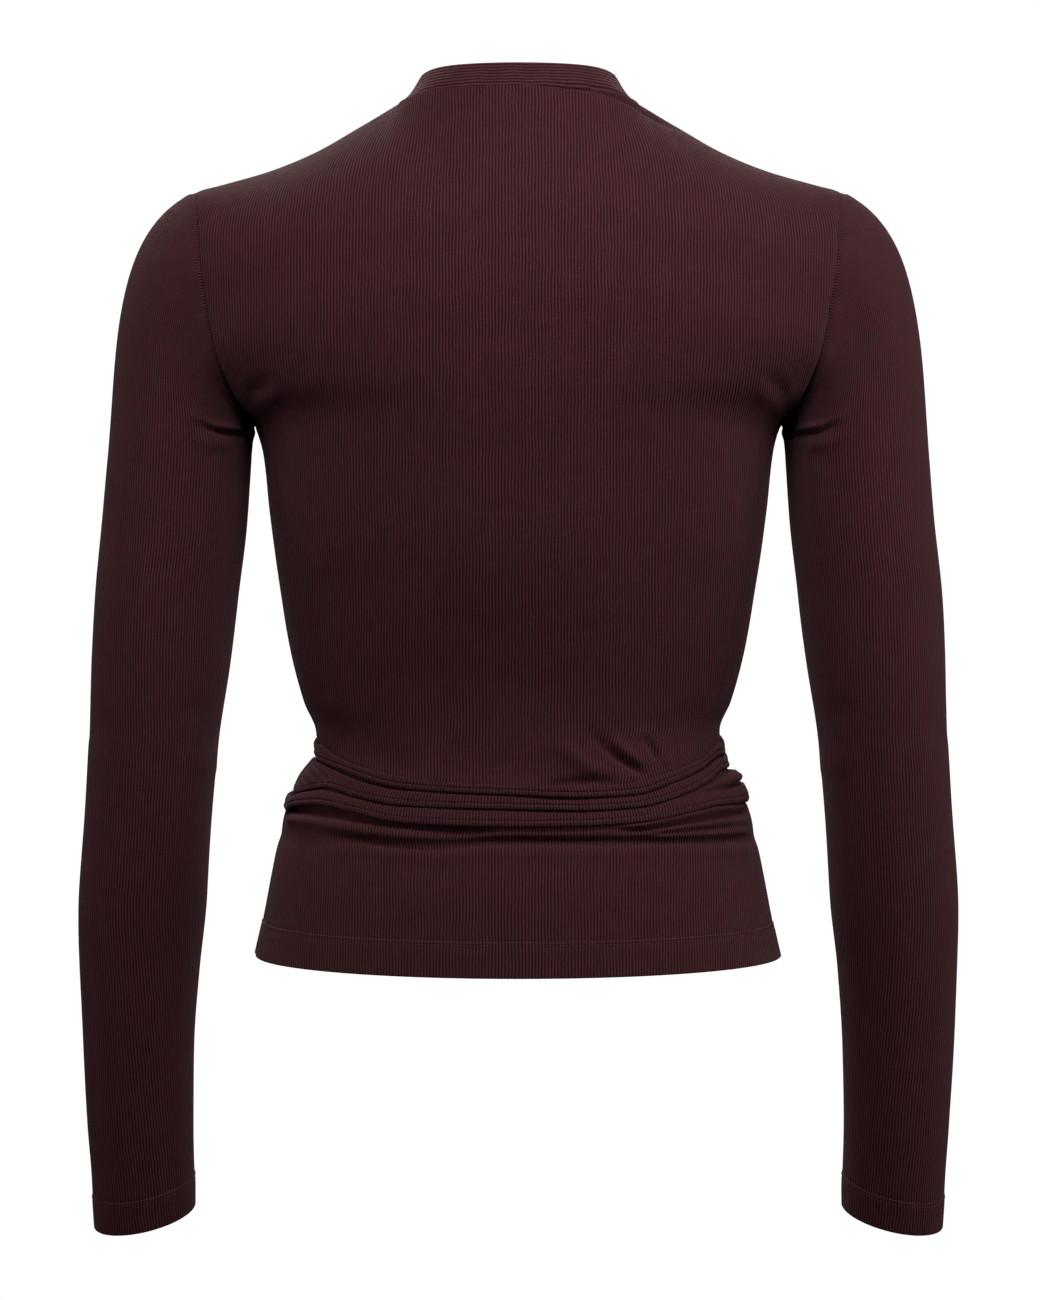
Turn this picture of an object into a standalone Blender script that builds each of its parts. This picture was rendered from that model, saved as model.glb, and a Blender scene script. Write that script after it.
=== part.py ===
"""Long-sleeved wrap top in fine rib jersey, in its worn shape, with two ties round the waist.

Metres, +Z up. The wearer faces -Y, so +X is the wearer's left. The origin is midway between the
inner ends of the two shoulder seams. Every piece of cloth is a closed wall, lofted through
sections of the worn garment.
"""

import math
from collections import namedtuple

import bpy
import numpy as np

COLLECTION = "wrap_top"

# Cloth
WALL = 0.0012           # cloth wall
TIE_WALL = 0.0016       # doubled cloth of a tie
SEAM = 0.0004           # gap between two pieces at a seam
SHARE_SPAN = 0.11       # metres that one unit of share covers near a panel's side edges
LEVEL_SPAN = 0.45       # metres that one unit of level covers near a panel's top edge
LAYER_GAP = 0.0020      # air between the two fronts
TIE_GAP = 0.0005        # air under a tie
TIE_DOME = (0.7, 1.0, 0.7)      # thickness of a tie across its width
BAND_GAP = 0.0006       # gap between the edges of two ties

# Body of the garment
HEM_HEIGHT = -0.4920
UNDERARM_HEIGHT = -0.187
HEM_DIP = 0.0066        # how much lower the hem is at the centre back
DIP_START = -0.43       # height from which the back's sections start to dip
UNDERARM_LEVEL = 0.6    # level of the underarm; 0 is the hem and 1 the shoulder seam
YOKE_LEVEL = 0.84       # level above which a panel curls over to the shoulder
NECK_SHARE = 0.4        # share of a panel's width that ends in the neckline, not in a shoulder seam
NECK_EASE = 0.28        # how softly the corner between neckline and shoulder seam fades into a panel
NECK_POINT = (0.069, 0.012, 0.0)
SHOULDER_POINT = (0.188, 0.008, -0.051)

# Fronts
WRAP_SHARE = 0.8        # where the wrap edge lies below the waist, as a share of the half front
LAYER_SIDE = 0.1        # width, in share, over which the outer front steps off the inner one
LAYER_NECK = 0.16       # the same below the neck, in level
BUST_PLACE = (0.080, -0.214)
BUST_SPREAD = (0.047, 0.050)
BUST_DEPTH = 0.021

# Neckband
BAND_HEIGHT = 0.0142
BAND_END_LEVEL = 0.30   # the neckband ends under the ties
BAND_ROWS = 3
BAND_EASE = (1.0, 0.85, 0.55, 0.22)    # how far the band still stands up at the first places down a front

BandTop = namedtuple("BandTop", "x y reach z drop")
BAND_TOP = BandTop(0.0564, 0.012, 0.046, 0.0182, 0.0030)

# Sleeves
ARM_POINTS = 10         # steps up one side of the armhole, half of those round a sleeve
CAP_STEPS = (0.0, 0.10, 0.24, 0.40, 0.57, 0.74, 0.88, 1.0)
CAP_WAY = (0.966, 0.0, -0.259)     # which way the sleeve head sets off from the armhole
CAP_LEAN = 0.36              # how much it also leans towards the middle of the armhole
CAP_START = (0.007, 0.105)   # pull of the cap at the underarm and at the shoulder
CAP_END = (0.026, 0.200)
CROWN = 0.0066          # fullness of the sleeve head, greatest a third of the way down

# Knot and tie ends
KNOT_HEIGHT = -0.3740
KNOT_SIZE = (0.013, 0.0065, 0.021)
TIE_END_WIDTH = 0.009
TIE_END_LENGTH = 0.105
TIE_END_STEPS = 7
TIE_END_DROP = 0.0019   # drop from the foot of the knot to the top of a tie's end, along the cloth
TIE_END_STAND = 0.0005  # air under a tie's end, which lies down on the cloth
TIE_END_LIFT = 0.0078   # how much further out it leaves the knot
TIE_END_TURN = 3.2      # degrees from the centre front to a tie's end, just below the knot
TIE_END_SPREAD = 5.5    # degrees that it swings further out on its way down
FRONT_RADIUS = 0.105    # radius of the front at the tie ends

Section = namedtuple("Section", "height side back front")
BODY = (
    Section(-0.4920, 0.1518, 0.106, -0.112),
    Section(-0.470, 0.1468, 0.102, -0.109),
    Section(-0.445, 0.1420, 0.096, -0.106),
    Section(-0.430, 0.1388, 0.089, -0.103),
    Section(-0.423, 0.1365, 0.083, -0.101),
    Section(-0.416, 0.1356, 0.0835, -0.100),
    Section(-0.405, 0.1325, 0.0775, -0.098),
    Section(-0.392, 0.1255, 0.0720, -0.096),
    Section(-0.378, 0.1190, 0.0690, -0.095),
    Section(-0.362, 0.1166, 0.0680, -0.0945),
    Section(-0.345, 0.1232, 0.0695, -0.095),
    Section(-0.315, 0.1312, 0.0765, -0.097),
    Section(-0.281, 0.1370, 0.085, -0.101),
    Section(-0.234, 0.1436, 0.094, -0.108),
    Section(-0.200, 0.1474, 0.099, -0.111),
    Section(-0.187, 0.1512, 0.101, -0.110),
)

Yoke = namedtuple("Yoke", "level edge_x edge_y edge_z mid_y mid_z turn")
BACK_YOKE = (
    Yoke(0.66, 0.1625, 0.038, -0.172, 0.104, -0.158, 80),
    Yoke(0.75, 0.1735, 0.057, -0.142, 0.105, -0.117, 64),
    Yoke(0.84, 0.1798, 0.055, -0.106, 0.099, -0.074, 52),
)
FRONT_YOKE = (
    Yoke(0.66, 0.1575, -0.030, -0.172, -0.106, -0.164, 80),
    Yoke(0.75, 0.1630, -0.050, -0.142, -0.094, -0.133, 64),
    Yoke(0.84, 0.1705, -0.052, -0.104, -0.079, -0.102, 52),
)

Arrival = namedtuple("Arrival", "share x y z")
BACK_ARRIVAL = (
    Arrival(0.00, 0.000, -0.024, 0.062),
    Arrival(0.25, -0.012, -0.032, 0.055),
    Arrival(0.40, -0.022, -0.062, 0.030),
    Arrival(0.60, 0.000, -0.075, 0.000),
    Arrival(1.00, 0.012, -0.062, 0.000),
)
FRONT_ARRIVAL = (
    Arrival(0.00, 0.000, 0.020, 0.030),
    Arrival(0.25, -0.008, 0.036, 0.034),
    Arrival(0.40, -0.014, 0.062, 0.018),
    Arrival(0.60, 0.000, 0.072, 0.000),
    Arrival(1.00, -0.012, 0.060, 0.000),
)

Shoulder = namedtuple("Shoulder", "x z")
SHOULDER_LINE = (
    Shoulder(0.069, 0.000),
    Shoulder(0.092, -0.0138),
    Shoulder(0.116, -0.0276),
    Shoulder(0.144, -0.0390),
    Shoulder(0.168, -0.0458),
    Shoulder(0.188, -0.0510),
)

Wrap = namedtuple("Wrap", "level share")
WRAP_EDGE = (
    Wrap(0.00, -WRAP_SHARE),
    Wrap(0.29, -WRAP_SHARE),
    Wrap(0.38, -0.480),
    Wrap(0.48, -0.290),
    Wrap(0.60, -0.140),
    Wrap(0.75, 0.015),
    Wrap(0.84, 0.095),
    Wrap(0.93, 0.200),
    Wrap(1.00, NECK_SHARE),
)

Arm = namedtuple("Arm", "height x y half_width half_depth slope")
ARM = (
    Arm(-0.205, 0.1965, 0.000, 0.0416, 0.0500, 0.00),
    Arm(-0.240, 0.1990, 0.002, 0.0418, 0.0492, 0.00),
    Arm(-0.280, 0.2033, 0.004, 0.0414, 0.0480, 0.00),
    Arm(-0.320, 0.2068, 0.005, 0.0400, 0.0462, 0.00),
    Arm(-0.365, 0.2110, 0.004, 0.0375, 0.0440, 0.00),
    Arm(-0.410, 0.2145, 0.001, 0.0368, 0.0428, 0.00),
    Arm(-0.455, 0.2178, -0.003, 0.0372, 0.0418, 0.00),
    Arm(-0.500, 0.2203, -0.008, 0.0350, 0.0396, 0.00),
    Arm(-0.545, 0.2212, -0.013, 0.0325, 0.0370, 0.00),
    Arm(-0.590, 0.2207, -0.019, 0.0309, 0.0348, 0.00),
    Arm(-0.623, 0.2195, -0.0245, 0.0301, 0.0335, 0.05),
    Arm(-0.6460, 0.2190, -0.0293, 0.0301, 0.0330, 0.19),
)

# Where the edges of the ties run and how far they stand off the cloth below. Turn 0 is the centre back,
# 90 the wearer's left side, 180 the centre front.
Tie = namedtuple("Tie", "turn top bottom stand")
LEFT_TIE = (
    Tie(-172, -0.3765, -0.3840, 0.0),
    Tie(-150, -0.3728, -0.3804, 0.0),
    Tie(-120, -0.3716, -0.3796, 0.0),
    Tie(-90, -0.3758, -0.3838, 0.0),
    Tie(-75, -0.3773, -0.3848, 0.0),
    Tie(-60, -0.3842, -0.3913, 0.0),
    Tie(-45, -0.3916, -0.3988, 0.0),
    Tie(-30, -0.3988, -0.4050, 0.0),
    Tie(-15, -0.4003, -0.4069, 0.0),
    Tie(0, -0.3988, -0.4062, 0.0),
    Tie(30, -0.3954, -0.4038, 0.0),
    Tie(45, -0.3906, -0.3996, 0.0),
    Tie(60, -0.3842, -0.3950, 0.0),
    Tie(75, -0.3802, -0.3977, 0.0),
    Tie(90, -0.3788, -0.4000, 0.0),
    Tie(98, -0.3775, -0.3970, 0.0),
)
RIGHT_TIE = (
    Tie(-108, -0.3868, -0.4020, 0.0010),
    Tie(-97, -0.3868, -0.4035, 0.0030),
    Tie(-90, -0.3866, -0.4042, 0.0036),
    Tie(-80, -0.3866, -0.4042, 0.0030),
    Tie(-70, -0.3886, -0.4042, 0.0014),
    Tie(-60, -0.3920, -0.4047, 0.0),
    Tie(-45, -0.3996, -0.4088, 0.0),
    Tie(-30, -0.4057, -0.4132, 0.0),
    Tie(-15, -0.4076, -0.4152, 0.0),
    Tie(0, -0.4070, -0.4156, 0.0),
    Tie(30, -0.4045, -0.4136, 0.0),
    Tie(60, -0.3960, -0.4048, 0.0),
    Tie(75, -0.3985, -0.4062, 0.0006),
    Tie(90, -0.4008, -0.4098, 0.0012),
    Tie(105, -0.3980, -0.4062, 0.0006),
    Tie(120, -0.3884, -0.3964, 0.0),
    Tie(150, -0.3730, -0.3808, 0.0),
    Tie(180, -0.3645, -0.3720, 0.0),
    Tie(210, -0.3612, -0.3686, 0.0),
    Tie(240, -0.3614, -0.3694, 0.0),
    Tie(270, -0.3658, -0.3748, 0.0),
    Tie(285, -0.3698, -0.3766, 0.0),
    Tie(300, -0.3783, -0.3835, 0.0),
    Tie(315, -0.3846, -0.3909, 0.0),
    Tie(330, -0.3906, -0.3981, 0.0),
    Tie(345, -0.3932, -0.3995, 0.0),
    Tie(360, -0.3924, -0.3980, 0.0),
    Tie(390, -0.3879, -0.3947, 0.0),
    Tie(420, -0.3770, -0.3835, 0.0),
    Tie(435, -0.3690, -0.3795, 0.0),
    Tie(450, -0.3664, -0.3780, 0.0),
    Tie(480, -0.3580, -0.3662, 0.0),
    Tie(510, -0.3548, -0.3624, 0.0),
    Tie(532, -0.3560, -0.3630, 0.0),
)
STAND_ACROSS = (0.35, 0.6, 1.0)     # share of its stand at a tie's lower edge, middle and upper edge

ROW_HEIGHTS = (-0.4920, -0.472, -0.450, -0.434, -0.423, -0.415, -0.406, -0.397, -0.388, -0.379,
               -0.370, -0.360, -0.345, -0.322, -0.295, -0.268, -0.240, -0.212, -0.187)
COLUMN = 0.1            # spacing of a panel's columns, as a share of its half width
COLUMNS_ROUND = 40      # columns of both faces round the body
NUDGE = 1e-3            # change of share or level over which the worn surface's slope is read

Paint = namedtuple("Paint", "name colour")
JERSEY = Paint("rib_jersey", (0.046, 0.018, 0.021))
BAND_JERSEY = Paint("neckband_jersey", (0.050, 0.020, 0.023))
TIE_JERSEY = Paint("tie_jersey", (0.036, 0.014, 0.017))


def monotone(knots, values, at):
    """Values read from a smooth curve through the points that never overshoots them."""
    x = np.asarray(knots, float)
    y = np.asarray(values, float)
    t = np.clip(np.asarray(at, float), x[0], x[-1])
    step = np.diff(x)
    slope = np.diff(y) / step
    bend = np.zeros_like(y)
    bend[0] = slope[0]
    bend[-1] = slope[-1]
    same = slope[:-1] * slope[1:] > 0
    near = 2 * step[1:] + step[:-1]
    far = step[1:] + 2 * step[:-1]
    safe = np.where(same, slope[:-1] * slope[1:], 1.0)
    mean = (near + far) * safe / np.where(same, near * slope[1:] + far * slope[:-1], 1.0)
    bend[1:-1] = np.where(same, mean, 0.0)
    i = np.clip(np.searchsorted(x, t, side="right") - 1, 0, len(x) - 2)
    return hermite(y[i], bend[i] * step[i], y[i + 1], bend[i + 1] * step[i], (t - x[i]) / step[i])


def hermite(start, leave, end, arrive, t):
    """Cubic from start to end with the given pulls at each end."""
    return (start * (2 * t**3 - 3 * t**2 + 1) + leave * (t**3 - 2 * t**2 + t)
            + end * (3 * t**2 - 2 * t**3) + arrive * (t**3 - t**2))


def column(table, name):
    return [getattr(row, name) for row in table]


def read(table, knot, name, at):
    """One column of a table, read at places between its rows."""
    rows = sorted(table, key=lambda row: getattr(row, knot))
    return monotone(column(rows, knot), column(rows, name), at)


def unit(vectors):
    return vectors / np.linalg.norm(vectors, axis=-1, keepdims=True)


# ---------------------------------------------------------------- worn form

def level_of(height):
    """Level on the side seam at a height below the underarm."""
    return UNDERARM_LEVEL * (height - HEM_HEIGHT) / (UNDERARM_HEIGHT - HEM_HEIGHT)


def face_rows(depth_name, yoke):
    """Every section of one face, from the hem to the yoke, keyed by level."""
    rows = []
    for section in BODY:
        fallen = max(0.0, (DIP_START - section.height) / (DIP_START - HEM_HEIGHT))
        dip = HEM_DIP * fallen if depth_name == "back" else 0.0
        rows.append(Yoke(level_of(section.height), section.side, 0.0, section.height,
                         getattr(section, depth_name), section.height - dip, 90))
    return rows + list(yoke)


Face = namedtuple("Face", "rows arrival neck_y neck_z outward has_bust")
BACK = Face(face_rows("back", BACK_YOKE), BACK_ARRIVAL, 0.066, 0.0042, 1.0, False)
FRONT = Face(face_rows("front", FRONT_YOKE), FRONT_ARRIVAL, -0.047, -0.060, -1.0, True)


def row_point(face, share, level):
    """Point of a face's section at a level up to the yoke; share runs from -1 to 1 across it."""
    place = {name: read(face.rows, "level", name, level) for name in Yoke._fields[1:]}
    turn = np.radians(place["turn"])
    fall = (1 - np.cos(share * turn)) / (1 - np.cos(turn))
    x = place["edge_x"] * np.sin(share * turn) / np.sin(turn)
    y = place["mid_y"] + (place["edge_y"] - place["mid_y"]) * fall
    z = place["mid_z"] + (place["edge_z"] - place["mid_z"]) * fall
    return np.stack([x, y, z], axis=-1)


def top_point(face, share):
    """Point of a face's top edge: neckline in the middle, shoulder seam on each side."""
    size = np.abs(share)
    out = np.maximum((size - NECK_SHARE) / (1 - NECK_SHARE), 0)
    angle = np.clip(size / NECK_SHARE, 0, 1) * math.pi / 2
    in_neck = size < NECK_SHARE
    seam_x = NECK_POINT[0] + (SHOULDER_POINT[0] - NECK_POINT[0]) * out
    x = np.where(in_neck, NECK_POINT[0] * np.sin(angle), seam_x)
    neck_y = NECK_POINT[1] + (face.neck_y - NECK_POINT[1]) * np.cos(angle)
    y = np.where(in_neck, neck_y, NECK_POINT[1] + (SHOULDER_POINT[1] - NECK_POINT[1]) * out)
    neck_z = face.neck_z * (1 - np.sin(angle) ** 4)
    z = np.where(in_neck, neck_z, read(SHOULDER_LINE, "x", "z", seam_x))
    return np.stack([x * np.sign(share), y, z], axis=-1)


def form(face, share, level):
    """Worn surface of the back or of the front, before any layering."""
    share = np.asarray(share, float)
    level = np.asarray(level, float)
    share, level = np.broadcast_arrays(share, level)
    low = row_point(face, share, np.minimum(level, YOKE_LEVEL))
    edge = row_point(face, share, np.full_like(level, YOKE_LEVEL))
    below = row_point(face, share, np.full_like(level, YOKE_LEVEL - NUDGE))
    leave = (edge - below) / NUDGE * (1 - YOKE_LEVEL)
    size = np.abs(share)
    arrive = np.stack([np.sign(share) * read(face.arrival, "share", "x", size),
                       read(face.arrival, "share", "y", size),
                       read(face.arrival, "share", "z", size)], axis=-1)
    t = np.clip((level - YOKE_LEVEL) / (1 - YOKE_LEVEL), 0, 1)[..., None]
    ease = NECK_EASE * (1 - t[..., 0])
    top = (top_point(face, share - ease) + 2 * top_point(face, share) + top_point(face, share + ease)) / 4
    high = hermite(edge, leave, top, arrive, t)
    points = np.where(level[..., None] > YOKE_LEVEL, high, low)
    if face.has_bust:
        for side in (-1, 1):
            away = (((points[..., 0] - side * BUST_PLACE[0]) / BUST_SPREAD[0]) ** 2
                    + ((points[..., 2] - BUST_PLACE[1]) / BUST_SPREAD[1]) ** 2)
            points[..., 1] -= BUST_DEPTH * np.exp(-away)
    return points


def form_normal(face, share, level):
    """Outward normal of the worn surface."""
    share, level = np.broadcast_arrays(np.asarray(share, float), np.asarray(level, float))
    left = np.clip(share - NUDGE, -1, 1)
    right = np.clip(share + NUDGE, -1, 1)
    down = np.clip(level - NUDGE, 0, 1)
    up = np.clip(level + NUDGE, 0, 1)
    across = form(face, right, level) - form(face, left, level)
    along = form(face, share, up) - form(face, share, down)
    return -face.outward * unit(np.cross(across, along))


def outer_step(share, level):
    """How far the outer front stands off the inner one; nothing at its own side seam and at the neck."""
    side = np.clip((1 - share) / LAYER_SIDE, 0, 1)
    neck = np.clip((1 - level) / LAYER_NECK, 0, 1)
    return (LAYER_GAP + WALL) * side * side * (3 - 2 * side) * neck * neck * (3 - 2 * neck)


# ---------------------------------------------------------------- solids

def make_material(paint):
    material = bpy.data.materials.new(paint.name)
    material.use_nodes = True
    shader = material.node_tree.nodes["Principled BSDF"]
    shader.inputs["Base Color"].default_value = (*paint.colour, 1.0)
    shader.inputs["Roughness"].default_value = 0.85
    shader.inputs["Metallic"].default_value = 0.0
    return material


def add_object(name, mesh, paint):
    mesh.materials.append(make_material(Paint(f"{name}_{paint.name}", paint.colour)))
    mesh.shade_smooth()
    mesh.set_sharp_from_angle(angle=math.radians(50))
    part = bpy.data.objects.new(name, mesh)
    bpy.data.collections[COLLECTION].objects.link(part)
    return part


def diagonals_of(grid, i, j):
    """Lengths of the two diagonals of a grid cell."""
    right = (j + 1) % grid.shape[1]
    falling = np.linalg.norm(grid[i, j] - grid[i + 1, right])
    rising = np.linalg.norm(grid[i, right] - grid[i + 1, j])
    return falling, rising


def split_quad(quad, diagonals):
    """Two triangles of a cell, parted along its shorter diagonal, so that both skins fold the same way."""
    a, b, c, d = quad
    if diagonals[0] <= diagonals[1]:
        return [[a, b, c], [a, c, d]]
    return [[a, b, d], [b, c, d]]


def wall(name, outer, inner, paint, round_closed=False):
    """Closed wall between two grids of points, rows by columns; its rims join the two skins."""
    rows, columns = outer.shape[:2]
    points = np.concatenate([outer.reshape(-1, 3), inner.reshape(-1, 3)])
    skin = rows * columns

    def index(i, j, inside):
        return (skin if inside else 0) + i * columns + j % columns

    spans = columns if round_closed else columns - 1
    faces = []
    for inside in (False, True):
        for i in range(rows - 1):
            for j in range(spans):
                quad = [index(i, j, inside), index(i, j + 1, inside),
                        index(i + 1, j + 1, inside), index(i + 1, j, inside)]
                pair = split_quad(quad, diagonals_of(outer, i, j))
                faces += [corner[::-1] for corner in pair] if inside else pair
    for j in range(spans):
        for i, flip in ((0, False), (rows - 1, True)):
            rim = [index(i, j, False), index(i, j, True), index(i, j + 1, True), index(i, j + 1, False)]
            faces.append(rim[::-1] if flip else rim)
    if not round_closed:
        for i in range(rows - 1):
            for j, flip in ((0, True), (columns - 1, False)):
                rim = [index(i, j, False), index(i, j, True), index(i + 1, j, True), index(i + 1, j, False)]
                faces.append(rim[::-1] if flip else rim)
    mesh = bpy.data.meshes.new(name)
    mesh.from_pydata(points.tolist(), [], faces)
    mesh.validate()
    if signed_volume(mesh) < 0:
        mesh.flip_normals()
    return add_object(name, mesh, paint)


def signed_volume(mesh):
    mesh.calc_loop_triangles()
    total = 0.0
    for triangle in mesh.loop_triangles:
        a, b, c = (mesh.vertices[k].co for k in triangle.vertices)
        total += a.dot(b.cross(c)) / 6
    return total


# ---------------------------------------------------------------- panels

def body_levels():
    """Levels of a panel's rows, closer together at the waist; the upper ones also shape the sleeve head."""
    low = [level_of(height) for height in ROW_HEIGHTS]
    high = [UNDERARM_LEVEL + (1 - UNDERARM_LEVEL) * k / ARM_POINTS for k in range(1, ARM_POINTS + 1)]
    return np.array(low + high)


def drawn_back(shares, levels):
    """Grid places taken in by half a seam gap at the side, armhole and top edges."""
    half_gap = SEAM / 2
    return shares * (1 - half_gap / SHARE_SPAN), levels * (1 - half_gap / LEVEL_SPAN)


def back_panel():
    shares = np.round(np.arange(-1, 1 + COLUMN / 2, COLUMN), 6)
    share, level = np.meshgrid(shares, body_levels())
    share, level = drawn_back(share, level)
    outer = form(BACK, share, level)
    return outer, outer - WALL * form_normal(BACK, share, level)


def wrap_share(level):
    """Where the wrap edge of the left front lies at a level."""
    return read(WRAP_EDGE, "level", "share", level)


def front_panel(outside):
    """Left front when outside, else the right front, its mirror image, one layer further in."""
    spans = round((1 + WRAP_SHARE) / COLUMN)
    level = np.repeat(body_levels()[:, None], spans + 1, axis=1)
    edge = wrap_share(level)
    share = edge + (1 - edge) * np.linspace(0, 1, spans + 1)[None, :]
    side_share, level = drawn_back(share, level)
    share = np.where(share > 0.999, side_share, share)
    step = outer_step(share, level) if outside else np.zeros_like(share)
    side = 1 if outside else -1
    base = form(FRONT, side * share, level)
    normal = form_normal(FRONT, side * share, level)
    outer = base + normal * step[..., None]
    return outer, outer - WALL * normal


# ---------------------------------------------------------------- neckband

def front_band(outside):
    """Neckband along a front's edge, from the neck point to the ties: a grid across it, and its normals."""
    levels = body_levels()
    levels = levels[levels >= BAND_END_LEVEL][::-1]
    share = wrap_share(levels)
    side = 1 if outside else -1
    edge = form(FRONT, side * share, levels)
    along_share = (form(FRONT, side * (share - NUDGE), levels) - edge) / NUDGE
    along_level = (edge - form(FRONT, side * share, levels - NUDGE)) / NUDGE
    off = unit(np.cross(np.gradient(edge, axis=0), form_normal(FRONT, side * share, levels))) * side
    way = np.array([np.linalg.lstsq(np.stack([a, b], axis=1), d, rcond=None)[0]
                    for a, b, d in zip(along_share, along_level, off)])
    reach = np.linspace(SEAM, SEAM + BAND_HEIGHT, BAND_ROWS)[:, None]
    shares = share - reach * way[:, 0]
    heights = np.clip(levels + reach * way[:, 1], 0, 1)
    stand = outer_step(share, levels) if outside else np.zeros_like(share)
    normal = form_normal(FRONT, side * shares, heights)
    return form(FRONT, side * shares, heights) + normal * stand[None, :, None], normal


def neckband():
    """One strip: up the right front's edge, round the back neck and down the left front's edge."""
    shares = np.round(np.arange(-NECK_SHARE, NECK_SHARE + COLUMN / 2, COLUMN), 6)
    back = top_point(BACK, shares)
    angle = shares / NECK_SHARE * math.pi / 2
    upper = np.stack([BAND_TOP.x * np.sin(angle), BAND_TOP.y + BAND_TOP.reach * np.cos(angle),
                      BAND_TOP.z - BAND_TOP.drop * np.sin(angle) ** 8], axis=-1)
    rise = upper - back
    middle = back + rise * np.linspace(SEAM / BAND_HEIGHT, 1, BAND_ROWS)[:, None, None]
    normal = np.repeat(unit(np.cross(rise, np.gradient(back, axis=0)))[None], BAND_ROWS, axis=0)
    left, left_normal = front_band(True)
    right, right_normal = front_band(False)
    for grid, grid_normal, end in ((left, left_normal, -1), (right, right_normal, 0)):
        straight = grid[:1] + rise[end] * np.linspace(0, 1, BAND_ROWS)[:, None, None]
        for k, share in enumerate(BAND_EASE):
            grid[:, k] += (straight[:, k] - grid[:, k]) * share
            grid_normal[:, k] = unit(grid_normal[:, k] + (normal[:, end] - grid_normal[:, k]) * share)
    outer = np.concatenate([right[:, :0:-1], middle, left[:, 1:]], axis=1)
    normals = np.concatenate([right_normal[:, :0:-1], normal, left_normal[:, 1:]], axis=1)
    return outer, outer - WALL * normals


# ---------------------------------------------------------------- sleeves

def armhole(grids):
    """Loop of a sleeve's first ring, both skins, from the underarm up the back and down the front."""
    loops = []
    for skin in (0, 1):
        back_edge = grids["back"][skin][-ARM_POINTS - 1:, -1]
        front_edge_points = grids["front_left"][skin][-ARM_POINTS - 1:, -1]
        loops.append(np.concatenate([back_edge, front_edge_points[-2:0:-1]]))
    return loops


def arm_ring(row, axis):
    """Points round the arm at one section, from the side nearest the body and round the back."""
    angle = math.pi - 2 * math.pi * np.arange(2 * ARM_POINTS) / (2 * ARM_POINTS)
    outward = unit(np.array([-axis[2], 0.0, axis[0] - row.slope]))
    backward = unit(np.cross(outward, axis))
    centre = np.array([row.x, row.y, row.height])
    return (centre + row.half_width * np.cos(angle)[:, None] * outward
            + row.half_depth * np.sin(angle)[:, None] * backward)


def sleeve(grids):
    """Wearer's left sleeve: a cap from the armhole to the first arm section, then on to the cuff."""
    outer_loop, inner_loop = armhole(grids)
    centre = outer_loop.mean(axis=0)
    inward = unit(centre - outer_loop)
    around_hole = np.roll(outer_loop, -1, 0) - np.roll(outer_loop, 1, 0)
    rim_out = unit(np.cross(around_hole, outer_loop - inner_loop))
    rim_out *= np.sign(rim_out[ARM_POINTS, 0])
    angle = math.pi - 2 * math.pi * np.arange(2 * ARM_POINTS) / (2 * ARM_POINTS)
    high = ((1 + np.cos(angle)) / 2)[:, None]
    centres = np.array([[row.x, row.y, row.height] for row in ARM])
    axes = unit(np.gradient(centres, axis=0))
    first = arm_ring(ARM[0], axes[0])
    start = outer_loop + SEAM * rim_out
    leave = (np.array(CAP_WAY) + CAP_LEAN * inward) * (CAP_START[0] + (CAP_START[1] - CAP_START[0]) * high)
    arrive = axes[0] * (CAP_END[0] + (CAP_END[1] - CAP_END[0]) * high)
    rings = []
    for t in CAP_STEPS:
        ring = hermite(start, leave, first, arrive, t)
        ring[:, 0] += CROWN * 27 / 4 * t * (1 - t) ** 2 * high[:, 0] ** 2
        rings.append(ring)
    rings += [arm_ring(row, axis) for row, axis in zip(ARM[1:], axes[1:])]
    outer = np.array(rings)
    around = np.roll(outer, -1, 1) - np.roll(outer, 1, 1)
    along = np.gradient(outer, axis=0)
    normal = unit(np.cross(along, around))
    middle = outer.mean(axis=1, keepdims=True)
    normal *= np.sign(np.sum(normal[-1] * (outer - middle)[-1]))
    inner = outer - WALL * normal
    inner[0] = inner_loop + SEAM * rim_out
    return outer, inner


# ---------------------------------------------------------------- ties

def skin_column(grids, place):
    """Outermost skin of the body along one column, counted from the centre back, with its normals."""
    place = (place + COLUMNS_ROUND // 2) % COLUMNS_ROUND - COLUMNS_ROUND // 2
    quarter = COLUMNS_ROUND // 4
    if abs(place) <= quarter:
        face, share = BACK, place * COLUMN
        points = grids["back"][0][:, place + quarter]
        normals = form_normal(BACK, share, body_levels())
        return points, normals
    share = round((2 * quarter - place) * COLUMN if place > 0 else (-2 * quarter - place) * COLUMN, 6)
    normals = form_normal(FRONT, share, body_levels())
    if share > -WRAP_SHARE - 1e-6:
        j = round((share + WRAP_SHARE) / COLUMN)
        return grids["front_left"][0][:, j], normals
    j = round((WRAP_SHARE - share) / COLUMN)
    stand = (LAYER_GAP + WALL) * (1 + share) / (1 - WRAP_SHARE)
    return grids["front_right"][0][:, j] + normals * stand, normals


def on_skin(grids, turn, height, out):
    """Point at a turn and height on the body's outermost skin, moved out along its normal."""
    place = turn / 360 * COLUMNS_ROUND
    first = math.floor(place + 1e-9)
    share = place - first
    found = []
    for k in (first, first + 1):
        points, normals = skin_column(grids, k)
        low = points[:len(ROW_HEIGHTS)]
        slopes = normals[:len(ROW_HEIGHTS)]
        point = np.array([np.interp(height, low[:, 2], low[:, axis]) for axis in range(3)])
        normal = np.array([np.interp(height, low[:, 2], slopes[:, axis]) for axis in range(3)])
        found.append(point + unit(normal) * out)
    return found[0] * (1 - share) + found[1] * share


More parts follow.
